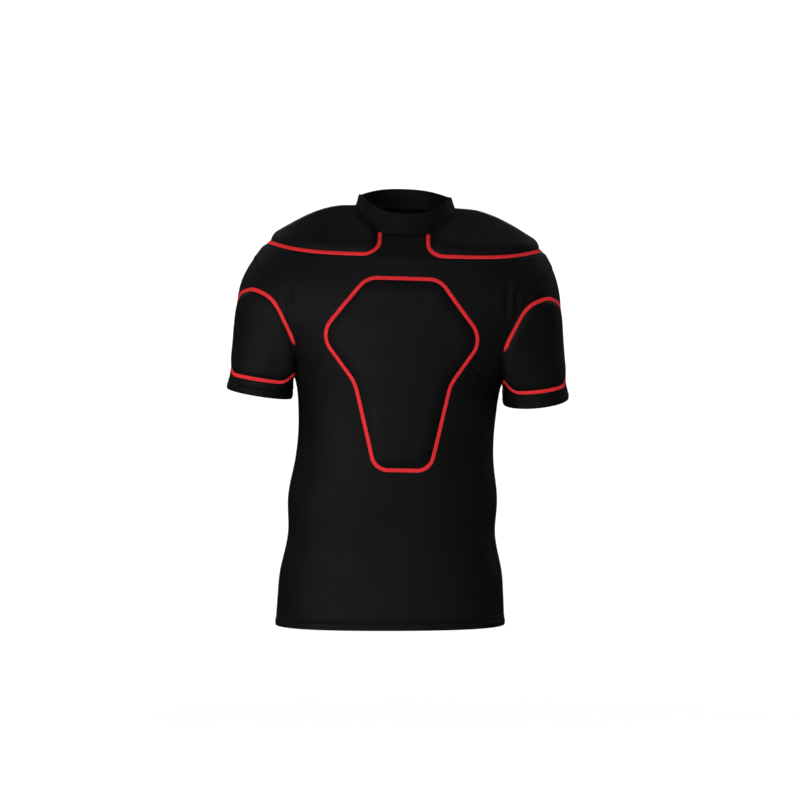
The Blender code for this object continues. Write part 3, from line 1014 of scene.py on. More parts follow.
@dataclass(frozen=True)
class Turning:
    """Turned-up edge of the cloth, sewn down by two rows of stitches that press grooves into it.

    The belly and the puckers are bell curves up the turning, placed and sized by shares of its height.
    """

    height: float = 0.015
    raised: float = 0.0009
    ease: float = 0.003
    roll: float = 0.0012
    belly: float = 0.0009
    belly_place: float = 0.45
    belly_width: float = 0.4
    groove: float = 0.0011
    groove_width: float = 0.0009
    upper_groove: float = 0.4
    thread_seat: float = 0.2
    stitch_rows: tuple[float, float] = (0.0112, 0.0148)
    sewn_margin: float = 0.002
    pucker: float = 0.00035
    pucker_place: float = 0.3
    pucker_width: float = 0.7
    pucker_pitch: float = 0.009
    pucker_seed: int = 7

    def distances(self) -> Array:
        """Where the cloth needs points: close together at the rim and at the grooves.

        Returns:
            Distances above the edge, rising.
        """
        low, high = self.stitch_rows[0] - self.sewn_margin, self.stitch_rows[1] + self.sewn_margin
        plain = np.linspace(self.roll, low, 7)[1:-1]
        eased = self.height + self.ease * np.array((0.9, 1.4, 2.0))
        return np.concatenate((RIM_STEPS * self.roll, plain, np.linspace(low, high, 18), eased))

    def offset(self, above: Array, around: Array) -> Array:
        """Outward offsets of the cloth's outer face.

        Args:
            above: Distances above the edge.
            around: Distances round the edge, for the puckers.

        Returns:
            Offsets.
        """
        held = self.raised * (1.0 - ease((above - self.height) / self.ease))
        low, high = (bell(above - row, self.groove_width) for row in self.stitch_rows)
        share = above / self.height
        band = self.belly * bell(share - self.belly_place, self.belly_width)
        wave = self.pucker * wander(around, self.pucker_pitch, self.pucker_seed)
        puckers = wave * bell(share - self.pucker_place, self.pucker_width)
        return held + band - self.groove * (low + self.upper_groove * high) + puckers


def closing(distance: Array, roll: float) -> Array:
    """Share of a wall's thickness left at a distance from its edge, which is rounded over the length roll."""
    left = 1.0 - np.clip(distance / roll, 0.0, 1.0)
    return np.clip(np.sqrt(1.0 - left * left), LEAST_THICKNESS, 1.0)


def walled(patch: Patch, outside: Array, inside: float, kept: Array, closed: bool) -> Wall:
    """Cloth wall between two offsets of a patch, with a share of its thickness kept at its rounded edges."""
    middle, half = 0.5 * (outside + inside), 0.5 * (outside - inside) * kept
    return Wall(patch.lifted(middle + half), patch.lifted(middle - half), closed)


@dataclass(frozen=True)
class BodyShell:
    """Front or back panel as a thin knit shell, cut out for both armholes.

    Its grid runs up the panel's rows from the hem and across from side seam to side seam. Creases are placed
    by X and Z.
    """

    face: Face
    body: BodyForm
    armhole: ArmholeForm
    turning: Turning
    creases: tuple[Crease, ...]
    flat: tuple[float, float]
    flat_area: float
    wall: float = 0.0016
    half_gap: float = 0.00015
    seam_fade: float = 0.014
    columns: int = 136
    lower_rows: int = 74
    armhole_rows: int = 62
    cap_rows: int = 26

    def rows(self) -> tuple[Array, Array]:
        """Rows of the grid, which lie closest at the hem.

        Returns:
            Fractional row numbers, and the turn of the panel's left edge in each.
        """
        reach = self.armhole.front if self.face is Face.FRONT else self.armhole.back
        angle = np.linspace(math.pi, 0.0, self.armhole_rows)
        turned = self.body.hem + self.turning.distances()
        plain = np.linspace(turned[-1], self.armhole.bottom, self.lower_rows)[1:-1]
        lower = self.body.row_at(np.concatenate((turned, plain)))
        beside = self.body.row_at(self.armhole.level(angle))
        cap = np.linspace(beside[-1], self.body.last, self.cap_rows)[1:]
        at = np.concatenate((lower, beside, cap))
        cut = np.concatenate((np.zeros(len(lower)), reach * np.sin(angle), np.zeros(len(cap))))
        return at, self.body.turn_of_reach(np.maximum(cut + self.half_gap, self.half_gap), at, self.face)

    def build(self) -> bpy.types.Object:
        """Make the shell; its creases die away at the seams, so that both panels meet there.

        Returns:
            The new object.
        """
        rows, edge = self.rows()
        across = np.linspace(-1.0, 1.0, self.columns + 1)
        turn = QUARTER + across[None, :] * (QUARTER - edge)[:, None]
        at = np.repeat(rows[:, None], len(across), axis=1)
        patch = self.body.patch(turn if self.face is Face.FRONT else -turn, at)
        x, _, z = np.moveaxis(patch.points, -1, 0)
        above = self.body.sizes(at)["level"] - self.body.hem
        around = steps_along(patch.points, ACROSS)
        seam = np.minimum(around, around[:, -1:] - around)
        relief = creased(self.creases, x, z) * ease(seam / self.seam_fade)
        outside = self.turning.offset(above, around - around[:, -1:] / 2.0)
        kept = closing(above, self.turning.roll)
        shell = walled(patch.raised(relief), outside, -self.wall, kept, False)
        return shell.make(self.face.value.replace("panel", "shell"))

    def dress(self, piece: bpy.types.Object, wardrobe: Wardrobe) -> None:
        """Give the shell its finish."""
        dressed(piece, wardrobe.knit, "black_knit", self.face.value)


@dataclass(frozen=True)
class SleeveShell:
    """Short sleeve as a thin knit tube with a turned cuff.

    Its grid runs from the armhole to the cuff and round the arm. Creases are placed by the distance round the
    arm from its outside, front first, and by the share of the sleeve's length times a fixed length.
    """

    side: Side
    sleeve: SleeveForm
    turning: Turning
    creases: tuple[Crease, ...]
    flat: tuple[float, float]
    flat_area: float
    wall: float = 0.0016
    columns: int = 168
    plain_rows: int = 64
    crease_radius: float = 0.053
    crease_length: float = 0.150

    def build(self) -> bpy.types.Object:
        """Make the sleeve.

        Returns:
            The new object.
        """
        angle = np.linspace(0.0, FULL_TURN, self.columns, endpoint=False)
        turned = self.turning.distances()[::-1, None]
        eased = self.sleeve.above_cuff(angle, turned[0])
        plain = np.linspace(0.0, 1.0, self.plain_rows)[:-1, None] * eased[None, :]
        along = np.concatenate((plain, self.sleeve.above_cuff(angle[None, :], turned)))
        angles = np.repeat(angle[None, :], len(along), axis=0)
        patch = self.sleeve.patch(angles, along).mirrored(self.side)
        reach = np.linalg.norm(self.sleeve.ends(angle)[3], axis=-1)
        above = (1.0 - along) * reach
        around = angles * self.crease_radius
        outside = self.turning.offset(above, around)
        relief = creased(self.creases, around, along * self.crease_length)
        kept = closing(above, self.turning.roll)
        shell = walled(patch.raised(relief), outside, -self.wall, kept, True)
        return shell.make("sleeve_shell_" + self.side.word)

    def dress(self, piece: bpy.types.Object, wardrobe: Wardrobe) -> None:
        """Give the sleeve its finish."""
        dressed(piece, wardrobe.knit, "black_knit", "sleeve_" + self.side.word)


@dataclass(frozen=True)
class CollarShell:
    """High collar as a knit band folded double: it rolls over at the top, and its foot lies under the panels.

    Its grid runs up the band and round the neck. Creases are placed by the distance round the neck from its
    left side, front first, and by the height above the neck seam.
    """

    collar: CollarForm
    creases: tuple[Crease, ...]
    flat: tuple[float, float]
    wall: float = 0.0024
    roll: float = 0.0016
    roll_raise: float = 0.0003
    roll_width: float = 0.005
    wave: float = 0.0005
    wave_pitch: float = 0.060
    wave_seed: int = 3
    seam_dip: float = 0.0006
    seam_width: float = 0.003
    tuck: float = 0.0030
    tuck_in: float = 0.0010
    columns: int = 220
    plain_rows: int = 26
    radius: float = 0.072
    height: float = 0.030

    def build(self) -> bpy.types.Object:
        """Make the collar.

        Returns:
            The new object.
        """
        turn = np.linspace(0.0, FULL_TURN, self.columns, endpoint=False)
        rim = 1.0 - RIM_STEPS[::-1] * self.roll / self.height
        tucked = np.linspace(-self.tuck, 0.0, 5)[:-1] / self.height
        up = np.concatenate((tucked, np.linspace(0.0, rim[0], self.plain_rows)[:-1], rim))
        turns, ups = np.meshgrid(turn, up)
        around, above, below = turns * self.radius, ups * self.height, (1.0 - ups) * self.height
        waves = self.wave * wander(around, self.wave_pitch, self.wave_seed) * ease(ups)
        dip = self.seam_dip * bell(above, self.seam_width)
        under = self.tuck_in * ease(-above / (0.5 * self.tuck))
        relief = waves - dip - under + creased(self.creases, around, above)
        patch = self.collar.patch(turns, ups).raised(relief)
        outside = self.roll_raise * bell(below, self.roll_width)
        return walled(patch, outside, -self.wall, closing(below, self.roll), True).make("collar_band")

    def dress(self, piece: bpy.types.Object, wardrobe: Wardrobe) -> None:
        """Give the collar its finish."""
        dressed(piece, wardrobe.collar, "collar_knit", "collar")


@dataclass(frozen=True)
class Foam:
    """Section of a foam pad under its cover: a thin sewn flange, then a soft rise to the full height.

    Height at a distance s inside the edge: flange, plus (height - flange) (1 - (1 - s/rise)^fullness) with s
    counted from the flange's inner edge. At its very edge the flange thins to the share lip. The full part is
    uneven by two waves that run aslant: one along X and a share of Y, the other along Z and a share of X.
    """

    height: float
    rise: float
    fullness: float = 2.3
    flange: float = 0.0011
    flange_width: float = 0.0030
    lip: float = 0.45
    lip_width: float = 0.0016
    clearance: float = 0.0003
    blunt: float = 0.80
    blunt_width: float = 0.005
    uneven: float = 0.00025
    uneven_pitch: float = 0.045
    uneven_fade: float = 0.6
    uneven_slants: tuple[float, float] = (0.6, -0.4)
    uneven_seeds: tuple[int, int] = (11, 5)

    def top(self, inside: Array, neck: Array | None = None) -> Array:
        """Heights of the pad above its panel.

        Args:
            inside: Distances from the sewn edge.
            neck: Distances from a blunt edge at the neck seam, or none.

        Returns:
            Heights.
        """
        lip = self.flange * (self.lip + (1.0 - self.lip) * ease(inside / self.lip_width))
        share = np.clip((inside - self.flange_width) / self.rise, 0.0, 1.0)
        swell = 1.0 - (1.0 - share) ** self.fullness
        if neck is not None:
            swell = swell * ease(self.blunt + neck / self.blunt_width)
        return lip + (self.height - self.flange) * swell

    def wall(self, patch: Patch, top: Array) -> Wall:
        """Closed pad on a patch of its panel, a little uneven over its full part.

        Args:
            patch: Points of the panel under the pad.
            top: Heights of the pad.

        Returns:
            The pad's wall.
        """
        x, y, z = np.moveaxis(patch.points, -1, 0)
        fade = ease((top - self.flange) / (self.uneven_fade * self.height))
        places = (x + self.uneven_slants[0] * y, z + self.uneven_slants[1] * x)
        waves = sum(wander(place, self.uneven_pitch, seed) for place, seed in zip(places, self.uneven_seeds))
        return Wall(patch.lifted(top + self.uneven * waves * fade), patch.lifted(self.clearance))


def crowded(count: int, share: float = 0.75) -> Array:
    """Steps from 0 to 1 that lie closer together at both ends."""
    even = np.linspace(0.0, 1.0, count)
    return even + share * (0.5 - 0.5 * np.cos(math.pi * even) - even)


def round_in(distance: Array, radius: float) -> Array:
    """How far a rounded corner draws an edge in, at a distance from the corner's end."""
    left = 1.0 - np.clip(distance / radius, 0.0, 1.0)
    return radius * (1.0 - np.sqrt(1.0 - left * left))


class Pad(ABC):
    """Foam pad sewn onto a panel; the pads of one zone differ by their side."""

    zone: ClassVar[str]
    fill: ClassVar[float] = 0.8
    side: Side | None
    foam: Foam

    @abstractmethod
    def panel(self) -> Patch:
        """Grid of the panel's points under the pad."""

    @abstractmethod
    def seam(self) -> Patch:
        """Line of the sewn edge."""

    def sewn(self) -> Patch:
        """Line of the seam's thread."""
        return self.seam()

    def called(self, kind: str) -> str:
        """Name of the pad's foam, of its seam or of its solid, which is called pad."""
        return "_".join((self.zone, kind) if self.side is None else (self.zone, kind, self.side.word))

    def inside(self, patch: Patch) -> Array:
        """Distances of a patch's points from the sewn edge."""
        return nearest(patch.points, self.seam().spaced(SEAM_SPACING).points)

    def build(self) -> bpy.types.Object:
        """Make the pad.

        Returns:
            The new object.
        """
        patch = self.panel()
        return self.foam.wall(patch, self.foam.top(self.inside(patch))).make(self.called("foam"))

    def dress(self, piece: bpy.types.Object, wardrobe: Wardrobe) -> None:
        """Give the pad its finish."""
        dressed(piece, wardrobe.pad, "pad_cover", self.called("pad"))


@dataclass(frozen=True)
class ShoulderPad(Pad):
    """Pad over one shoulder from front to back that leans on the collar, sewn level with the shoulder tip.

    Near the neck its normals turn from the body's own to upright ones that lean towards the collar.
    """

    zone: ClassVar[str] = "shoulder"
    side: Side
    body: BodyForm
    foam: Foam
    edge_row: float = TIP_ROW
    top_row: float = 15.95
    middle: float = 0.038
    corner: float = 0.026
    lean: float = 0.26
    lean_reach: float = 0.022
    grid: tuple[int, int] = (52, 118)

    def edge_turn(self, rows: Array) -> Array:
        """Front edge of the pad, with the rounded corner at its foot.

        Args:
            rows: Fractional row numbers.

        Returns:
            Turns of the edge there.
        """
        size = self.body.sizes(rows)
        line = self.body.point(np.full_like(rows, QUARTER), rows)
        foot = self.body.point(np.array(QUARTER), np.array(self.edge_row))
        middle = self.middle + round_in(np.linalg.norm(line - foot, axis=-1), self.corner)
        return np.arccos(np.clip(middle / size["half_width"], 0.0, 1.0) ** (size["squareness"] / 2.0))

    def seam(self) -> Patch:
        """Line of the sewn edge: down the front edge, round under the shoulder tip and up the back edge.

        Returns:
            The line.
        """
        rows = self.edge_row + np.linspace(1.0, 0.0, 220) ** 2 * (self.top_row - self.edge_row)
        turns = self.edge_turn(rows)
        below = np.linspace(turns[-1], -turns[-1], 300)[1:-1]
        turn = np.concatenate((turns, below, -turns[::-1]))
        at = np.concatenate((rows, np.full_like(below, self.edge_row), rows[::-1]))
        return self.body.patch(turn, at).mirrored(self.side)

    def panel(self) -> Patch:
        """Grid of the body's points from the edge up to the neck and from the front edge to the back edge.

        Returns:
            The grid.
        """
        rows = self.edge_row + crowded(self.grid[0]) * (self.top_row - self.edge_row)
        turn = self.edge_turn(rows)[:, None] * (1.0 - 2.0 * crowded(self.grid[1])[None, :])
        return self.body.patch(turn, np.repeat(rows[:, None], self.grid[1], axis=1)).mirrored(self.side)

    def build(self) -> bpy.types.Object:
        """Make the pad.

        Returns:
            The new object.
        """
        patch = self.panel()
        neck = nearest(patch.points, Patch(patch.points[-1], patch.normals[-1]).spaced(SEAM_SPACING).points)
        inward = unit(patch.points * np.array((-1.0, -1.0, 0.0)))
        near = ease(1.0 - neck / self.lean_reach)[..., None]
        upright = self.lean * inward + np.array((0.0, 0.0, 1.0))
        leaning = Patch(patch.points, unit(patch.normals * (1.0 - near) + upright * near))
        return self.foam.wall(leaning, self.foam.top(self.inside(patch), neck)).make(self.called("foam"))


@dataclass(frozen=True)
class SternumPad(Pad):
    """Shield-shaped pad in the middle of the chest; one half of it as corners from the top down.

    A corner holds half the width, the height and the rounding there. A drift row holds a height and the pad's
    sideways shift there, because the pad hangs straighter than the leaning body.
    """

    zone: ClassVar[str] = "sternum"
    side: ClassVar[None] = None
    body: BodyForm
    foam: Foam
    corners: Table = (
        (0.0566, -0.1120, 0.034),
        (0.1270, -0.2022, 0.036),
        (0.0741, -0.2752, 0.070),
        (0.0430, -0.4102, 0.026),
    )
    drift: Table = (
        (-0.4102, 0.0106),
        (-0.3700, 0.0086),
        (-0.3200, 0.0059),
        (-0.2700, 0.0040),
        (-0.2200, 0.0028),
        (-0.1120, 0.0018),
    )
    arc_steps: int = 40
    seam_steps: int = 1200
    row_crowding: float = 0.85
    grid: tuple[int, int] = (104, 66)

    def half_outline(self) -> Array:
        """Left half of the outline, along straights and arcs.

        Returns:
            Half widths and heights from the top's middle to the bottom's.
        """
        ends = ((0.0, self.corners[0][1]), (0.0, self.corners[-1][1]))
        stops = np.array((ends[0], *(corner[:2] for corner in self.corners), ends[1]))
        share = np.linspace(0.0, 1.0, self.arc_steps)[:, None]
        arcs = [stops[:1]]
        for index, (_, _, radius) in enumerate(self.corners):
            before, vertex, after = stops[index:index + 3]
            back, ahead = unit(before - vertex), unit(after - vertex)
            half = 0.5 * math.acos(float(back @ ahead))
            centre = vertex + unit(back + ahead) * radius / math.sin(half)
            first = vertex + back * radius / math.tan(half) - centre
            last = vertex + ahead * radius / math.tan(half) - centre
            sweep = math.pi - 2.0 * half
            mixed = np.sin((1.0 - share) * sweep) * first + np.sin(share * sweep) * last
            arcs.append(centre + mixed / math.sin(sweep))
        return np.concatenate((*arcs, stops[-1:]))

    def seam(self) -> Patch:
        """Closed line of the sewn edge, from the top's middle down the left side and up the right.

        Returns:
            The line.
        """
        half = self.half_outline()
        whole = np.concatenate((half, (half * np.array((-1.0, 1.0)))[-2::-1]))
        run = steps_along(whole, 0)
        even = np.linspace(0.0, run[-1], self.seam_steps)
        x, z = np.interp(even, run, whole[:, 0]), np.interp(even, run, whole[:, 1])
        return self.body.patch(*self.body.front_place(x + smooth_curve(self.drift, z), z))

    def panel(self) -> Patch:
        """Grid of the front's points from the foot of the outline to its top and from right to left.

        Returns:
            The grid.
        """
        half = self.half_outline()[::-1][1:-1]
        height = half[0, 1] + crowded(self.grid[0], self.row_crowding) * (half[-1, 1] - half[0, 1])
        reach = np.interp(height, half[:, 1], half[:, 0])
        across = 2.0 * crowded(self.grid[1]) - 1.0
        x = reach[:, None] * across[None, :] + smooth_curve(self.drift, height)[:, None]
        return self.body.patch(*self.body.front_place(x, np.repeat(height[:, None], len(across), axis=1)))


@dataclass(frozen=True)
class SleevePad(Pad):
    """Upper-arm pad round the front of one sleeve, from the outside of the arm to the fold under it.

    Rows hold an angle round the sleeve in degrees (0 outside, 90 in front) and the upper edge there, as a
    share of the sleeve's length from the armhole. Fold angles are in degrees too. Down the inner end the fold
    goes from the share end_fold_starts to nothing over the share end_fold_fades.
    """

    zone: ClassVar[str] = "sleeve"
    fill: ClassVar[float] = 0.75
    side: Side
    sleeve: SleeveForm
    foam: Foam
    rows: Table = (
        (8.0, 0.376),
        (14.0, 0.325),
        (24.0, 0.228),
        (42.0, 0.120),
        (62.0, 0.052),
        (90.0, 0.032),
        (120.0, 0.046),
        (152.0, 0.110),
    )
    above_cuff: float = 0.024
    outer_corner: float = 0.028
    inner_corner: float = 0.030
    upper_corner: float = 0.024
    least_height: float = 0.14
    fold_starts: float = 109.0
    fold_ends: float = 125.0
    fold_depth: float = 0.0027
    end_fold_starts: float = 0.55
    end_fold_fades: float = 0.3
    seam_steps: tuple[int, int] = (400, 120)
    seam_crowding: float = 0.9
    grid: tuple[int, int] = (54, 104)

    @property
    def span(self) -> float:
        """Degrees from the outer end to the inner end."""
        return self.rows[-1][0] - self.rows[0][0]

    def degrees(self, share: Array) -> Array:
        """Angles in degrees at shares of the way round."""
        return self.rows[0][0] + share * self.span

    def edges(self, share: Array) -> tuple[Array, Array, Array]:
        """Upper and lower edge of the pad, with rounded corners.

        Args:
            share: Shares of the way round.

        Returns:
            Angles there, and both edges as shares of the sleeve's length.
        """
        degrees = self.degrees(share)
        angle = np.radians(degrees)
        girth = self.sleeve.cuff_half_width * math.radians(self.span)
        outer, inner = girth * share, girth * (1.0 - share)
        drawn = round_in(outer, self.outer_corner) + round_in(inner, self.inner_corner)
        reach = np.linalg.norm(self.sleeve.ends(angle)[3], axis=-1)
        upper = smooth_curve(self.rows, degrees) + round_in(outer, self.upper_corner) / reach
        lower = 1.0 - (self.above_cuff + drawn) / reach
        return angle, upper, np.maximum(lower, upper + self.least_height)

    def place(self, share: Array, down: Array) -> Patch:
        """Points of the sleeve under the pad, by the share of the way round and down."""
        angle, upper, lower = self.edges(share)
        return self.sleeve.patch(angle, upper + (lower - upper) * down).mirrored(self.side)

    def ways(self) -> tuple[Array, Array]:
        """Shares of the way round, and of the way down an end, at the points of the sewn edge."""
        down = np.linspace(0.0, 1.0, self.seam_steps[1])[1:-1]
        return crowded(self.seam_steps[0], self.seam_crowding), down

    def seam(self) -> Patch:
        """Closed line of the sewn edge: along the top, down one end, back along the foot and up the other.

        Returns:
            The line.
        """
        share, down = self.ways()
        whole = np.concatenate((share, np.ones_like(down), share[::-1], np.zeros_like(down), share[:1]))
        drop = np.concatenate((np.zeros_like(share), down, np.ones_like(share), down[::-1], (0.0,)))
        return self.place(whole, drop)

    def sewn(self) -> Patch:
        """Line of the seam's thread: the sewn edge, sunk into the fold under the arm above the pad's foot.

        Returns:
            The line.
        """
        share, down = self.ways()
        along_top = ease((self.degrees(share) - self.fold_starts) / (self.fold_ends - self.fold_starts))
        along_end = 1.0 - ease((down - self.end_fold_starts) / self.end_fold_fades)
        plain = np.zeros(len(share) + len(down) + 1)
        return self.seam().raised(-self.fold_depth * np.concatenate((along_top, along_end, plain)))

    def panel(self) -> Patch:
        """Grid of the sleeve's points, down from the upper edge and round from the outer end."""
        return self.place(*np.meshgrid(crowded(self.grid[1]), crowded(self.grid[0])))


@dataclass(frozen=True)
class SewingLine:
    """Line on the cloth with its directions across the seam and out of the cloth at every point."""

    line: Patch
    across: Array
    run: Array
    closed: bool

    @classmethod
    def on(cls, line: Patch, inside: Array | None = None) -> SewingLine:
        """Sewing line along a line of points.

        Args:
            line: Evenly spaced points with the cloth's normals.
            inside: A point on the side of the line that counts as inside; the other side is across.

        Returns:
            The sewing line.
        """
        points = line.points
        closed = bool(np.linalg.norm(points[-1] - points[0]) < np.linalg.norm(points[1] - points[0]))
        before = points[-2:-1] if closed else 2.0 * points[:1] - points[1:2]
        after = points[1:2] if closed else 2.0 * points[-1:] - points[-2:-1]
        padded = np.concatenate((before, points, after))
        across = unit(np.cross(padded[2:] - padded[:-2], line.normals))
        if inside is not None and ((points - inside) * across).sum() < 0.0:
            across = -across
        return cls(line, across, steps_along(points, 0), closed)

    @property
    def length(self) -> float:
        """Length of the line."""
        return float(self.run[-1])

    def place(self, run: Array, aside: Array, lift: Array) -> tuple[Array, Array]:
        """Points beside the line.

        Args:
            run: Distances along it.
            aside: Distances across it.
            lift: Distances out of the cloth.

        Returns:
            The points and the cloth's normals there.
        """
        held = np.mod(run, self.length) if self.closed else np.clip(run, 0.0, self.length)
        table = np.concatenate((self.line.points, self.across, self.line.normals), axis=1)
        found = np.stack([np.interp(held, self.run, column) for column in table.T], axis=-1)
        normals = unit(found[..., 6:])
        return found[..., :3] + found[..., 3:6] * aside[..., None] + normals * lift[..., None], normals

    def stitches(
        self, count: int, reach: float, aside: float, lift: float, dive: float, radius: float
    ) -> Mesh:
        """Mesh of a row of stitches: short threads that arch out of the cloth and dive back into it.

        Args:
            count: Number of stitches.
            reach: Length of a stitch.
            aside: Distance of the row across the line.
            lift: Height of a stitch's middle.
            dive: How much lower its ends are, by the cube of the way there.
            radius: Half a thread's width.

        Returns:
            Points and faces.
        """
        share = np.linspace(-1.0, 1.0, 5)[None, :]
        run = (np.arange(count)[:, None] + 0.5) * self.length / count + 0.5 * reach * share
        arch = np.broadcast_to(lift - dive * np.abs(share) ** 3.0, run.shape)
        lines, normals = self.place(run, np.full_like(run, aside), arch)
        return Strands(lines, normals, radius).parts()


@dataclass(frozen=True)
class Thread:
    """One kind of flat seam.

    The bed slopes from inner_lift, on the pad's side, to outer_lift, and is domed by crown. Over it lie
    slanted threads at the pitch, each moved by up to the share jitter of it, and a row of stitches runs near
    each edge. Lifts and dives of threads and stitches are counted in radii.
    """

    slot: str
    width: float
    inner_lift: float
    outer_lift: float
    crown: float
    pitch: float
    slant: float
    radius: float
    thread_reach: float = 0.97
    thread_lift: float = 0.45
    thread_dive: float = 1.8
    thread_flatness: float = 0.7
    jitter: float = 0.14
    edge_pitch: float = 0.0032
    edge_share: float = 0.36
    edge_reach: float = 0.88
    edge_radius: float = 0.7
    edge_lift: float = 1.1
    edge_dive: float = 1.6


RED_SEAM = Thread("red_thread", 0.0060, 0.0013, 0.0005, 0.0003, 0.0019, 0.0024, 0.00046)
BLACK_SEAM = Thread("black_knit", 0.0044, 0.0004, 0.0004, 0.0002, 0.0024, 0.0022, 0.00036)


@dataclass(frozen=True)
class FlatSeam:
    """Flat seam along a line: a bed of thread, slanted threads over it and stitches along both edges."""

    name: str
    line: SewingLine
    thread: Thread
    seed: int
    bed_step: float = 0.0022
    bed_columns: int = 7
    bed_depth: float = 0.0006

    def lift(self, aside: Array | float) -> Array:
        """Height of the bed: its slope plus the dome crown (1 - |2 s|^4).

        Args:
            aside: Distances across the seam.

        Returns:
            Heights.
        """
        share = aside / self.thread.width
        slope = 0.5 * (self.thread.inner_lift + self.thread.outer_lift)
        slope = slope + share * (self.thread.outer_lift - self.thread.inner_lift)
        return slope + self.thread.crown * (1.0 - np.abs(2.0 * share) ** 4.0)

    def bed(self) -> Mesh:
        """Mesh of the bed: a low domed section carried along the line.

        Returns:
            Points and faces.
        """
        count = int(self.line.length / self.bed_step)
        run = np.linspace(0.0, self.line.length, count, endpoint=not self.line.closed)
        aside = np.linspace(-0.5, 0.5, self.bed_columns) * self.thread.width
        runs, asides = np.meshgrid(run, aside)
        lift = self.lift(asides)
        outer = self.line.place(runs, asides, lift)[0]
        inner = self.line.place(runs, asides, lift - self.bed_depth)[0]
        points, faces, _ = Wall(outer, inner, self.line.closed).parts()
        return points, [faces]

    def threads(self) -> Mesh:
        """Mesh of the slanted threads, which dip into the cloth at both ends.

        Returns:
            Points and faces.
        """
        kind = self.thread
        count = int(self.line.length / kind.pitch)
        chance = np.random.default_rng(self.seed)
        moved = chance.uniform(-kind.jitter, kind.jitter, count)
        start = (np.arange(count) + 0.5 + moved) * self.line.length / count
        share = np.linspace(-0.5, 0.5, 6)[None, :]
        aside = np.repeat(share * kind.thread_reach * kind.width, count, axis=0)
        run = start[:, None] + share * kind.slant
        lift = kind.radius * (kind.thread_lift - kind.thread_dive * np.abs(2.0 * share) ** 6.0)
        lines, normals = self.line.place(run, aside, self.lift(aside) + lift)
        return Strands(lines, normals, kind.radius, kind.thread_flatness).parts()

    def edging(self, aside: float) -> Mesh:
        """Mesh of a row of stitches along the seam.

        Args:
            aside: Distance of the row across the seam.

        Returns:
            Points and faces.
        """
        kind = self.thread
        count = int(self.line.length / kind.edge_pitch)
        reach = kind.edge_reach * self.line.length / count
        lift = float(self.lift(aside)) + kind.edge_lift * kind.radius
        dive, radius = kind.edge_dive * kind.radius, kind.edge_radius * kind.radius
        return self.line.stitches(count, reach, aside, lift, dive, radius)

    def build(self) -> bpy.types.Object:
        """Make the seam.

        Returns:
            The new object.
        """
        aside = self.thread.edge_share * self.thread.width
        parts = [self.bed(), self.threads(), self.edging(aside), self.edging(-aside)]
        return make_object(self.name, *gathered(parts))

    def dress(self, piece: bpy.types.Object, wardrobe: Wardrobe) -> None:
        """Give the seam its thread."""
        material = wardrobe.red_thread if self.thread is RED_SEAM else wardrobe.black_thread
        dressed(piece, material, self.thread.slot)


@dataclass(frozen=True)
class TopStitch:
    """Rows of straight black stitches that hold a turned edge or a neck seam down."""

    name: str
    lines: tuple[SewingLine, ...]
    stitch: float = 0.0027
    pitch: float = 0.0034
    radius: float = 0.00030
    lift: float = 0.00012
    dive: float = 0.0004

    def row(self, line: SewingLine) -> Mesh:
        """Mesh of one row of stitches."""
        count = int(line.length / self.pitch)
        return line.stitches(count, self.stitch, 0.0, self.lift, self.dive, self.radius)

    def build(self) -> bpy.types.Object:
        """Make the rows."""
        return make_object(self.name, *gathered([self.row(line) for line in self.lines]))

    def dress(self, piece: bpy.types.Object, wardrobe: Wardrobe) -> None:
        """Give the stitches their thread."""
        dressed(piece, wardrobe.black_thread, "black_knit")


@dataclass(frozen=True)
class Lamp:
    """Rectangular soft light, aimed at a point; one without gloss doesn't show in the cloth's reflections."""

    name: str
    place: Place
    power: float
    aim: Place = (0.0, 0.0, -0.30)
    size: tuple[float, float] = (1.0, 1.2)
    gloss: bool = True

    def build(self) -> bpy.types.Object:
        """Make the light.

        Returns:
            The new object.
        """
        light = bpy.data.lights.new(self.name, "AREA")
        light.shape = "RECTANGLE"
        light.size, light.size_y = self.size
        light.energy = self.power
        lamp = linked(self.name, light)
        lamp.location = self.place
        lamp.rotation_euler = Vector(np.subtract(self.aim, self.place)).to_track_quat("-Z", "Y").to_euler()
        lamp.visible_camera = False
        lamp.visible_glossy = self.gloss
        return lamp


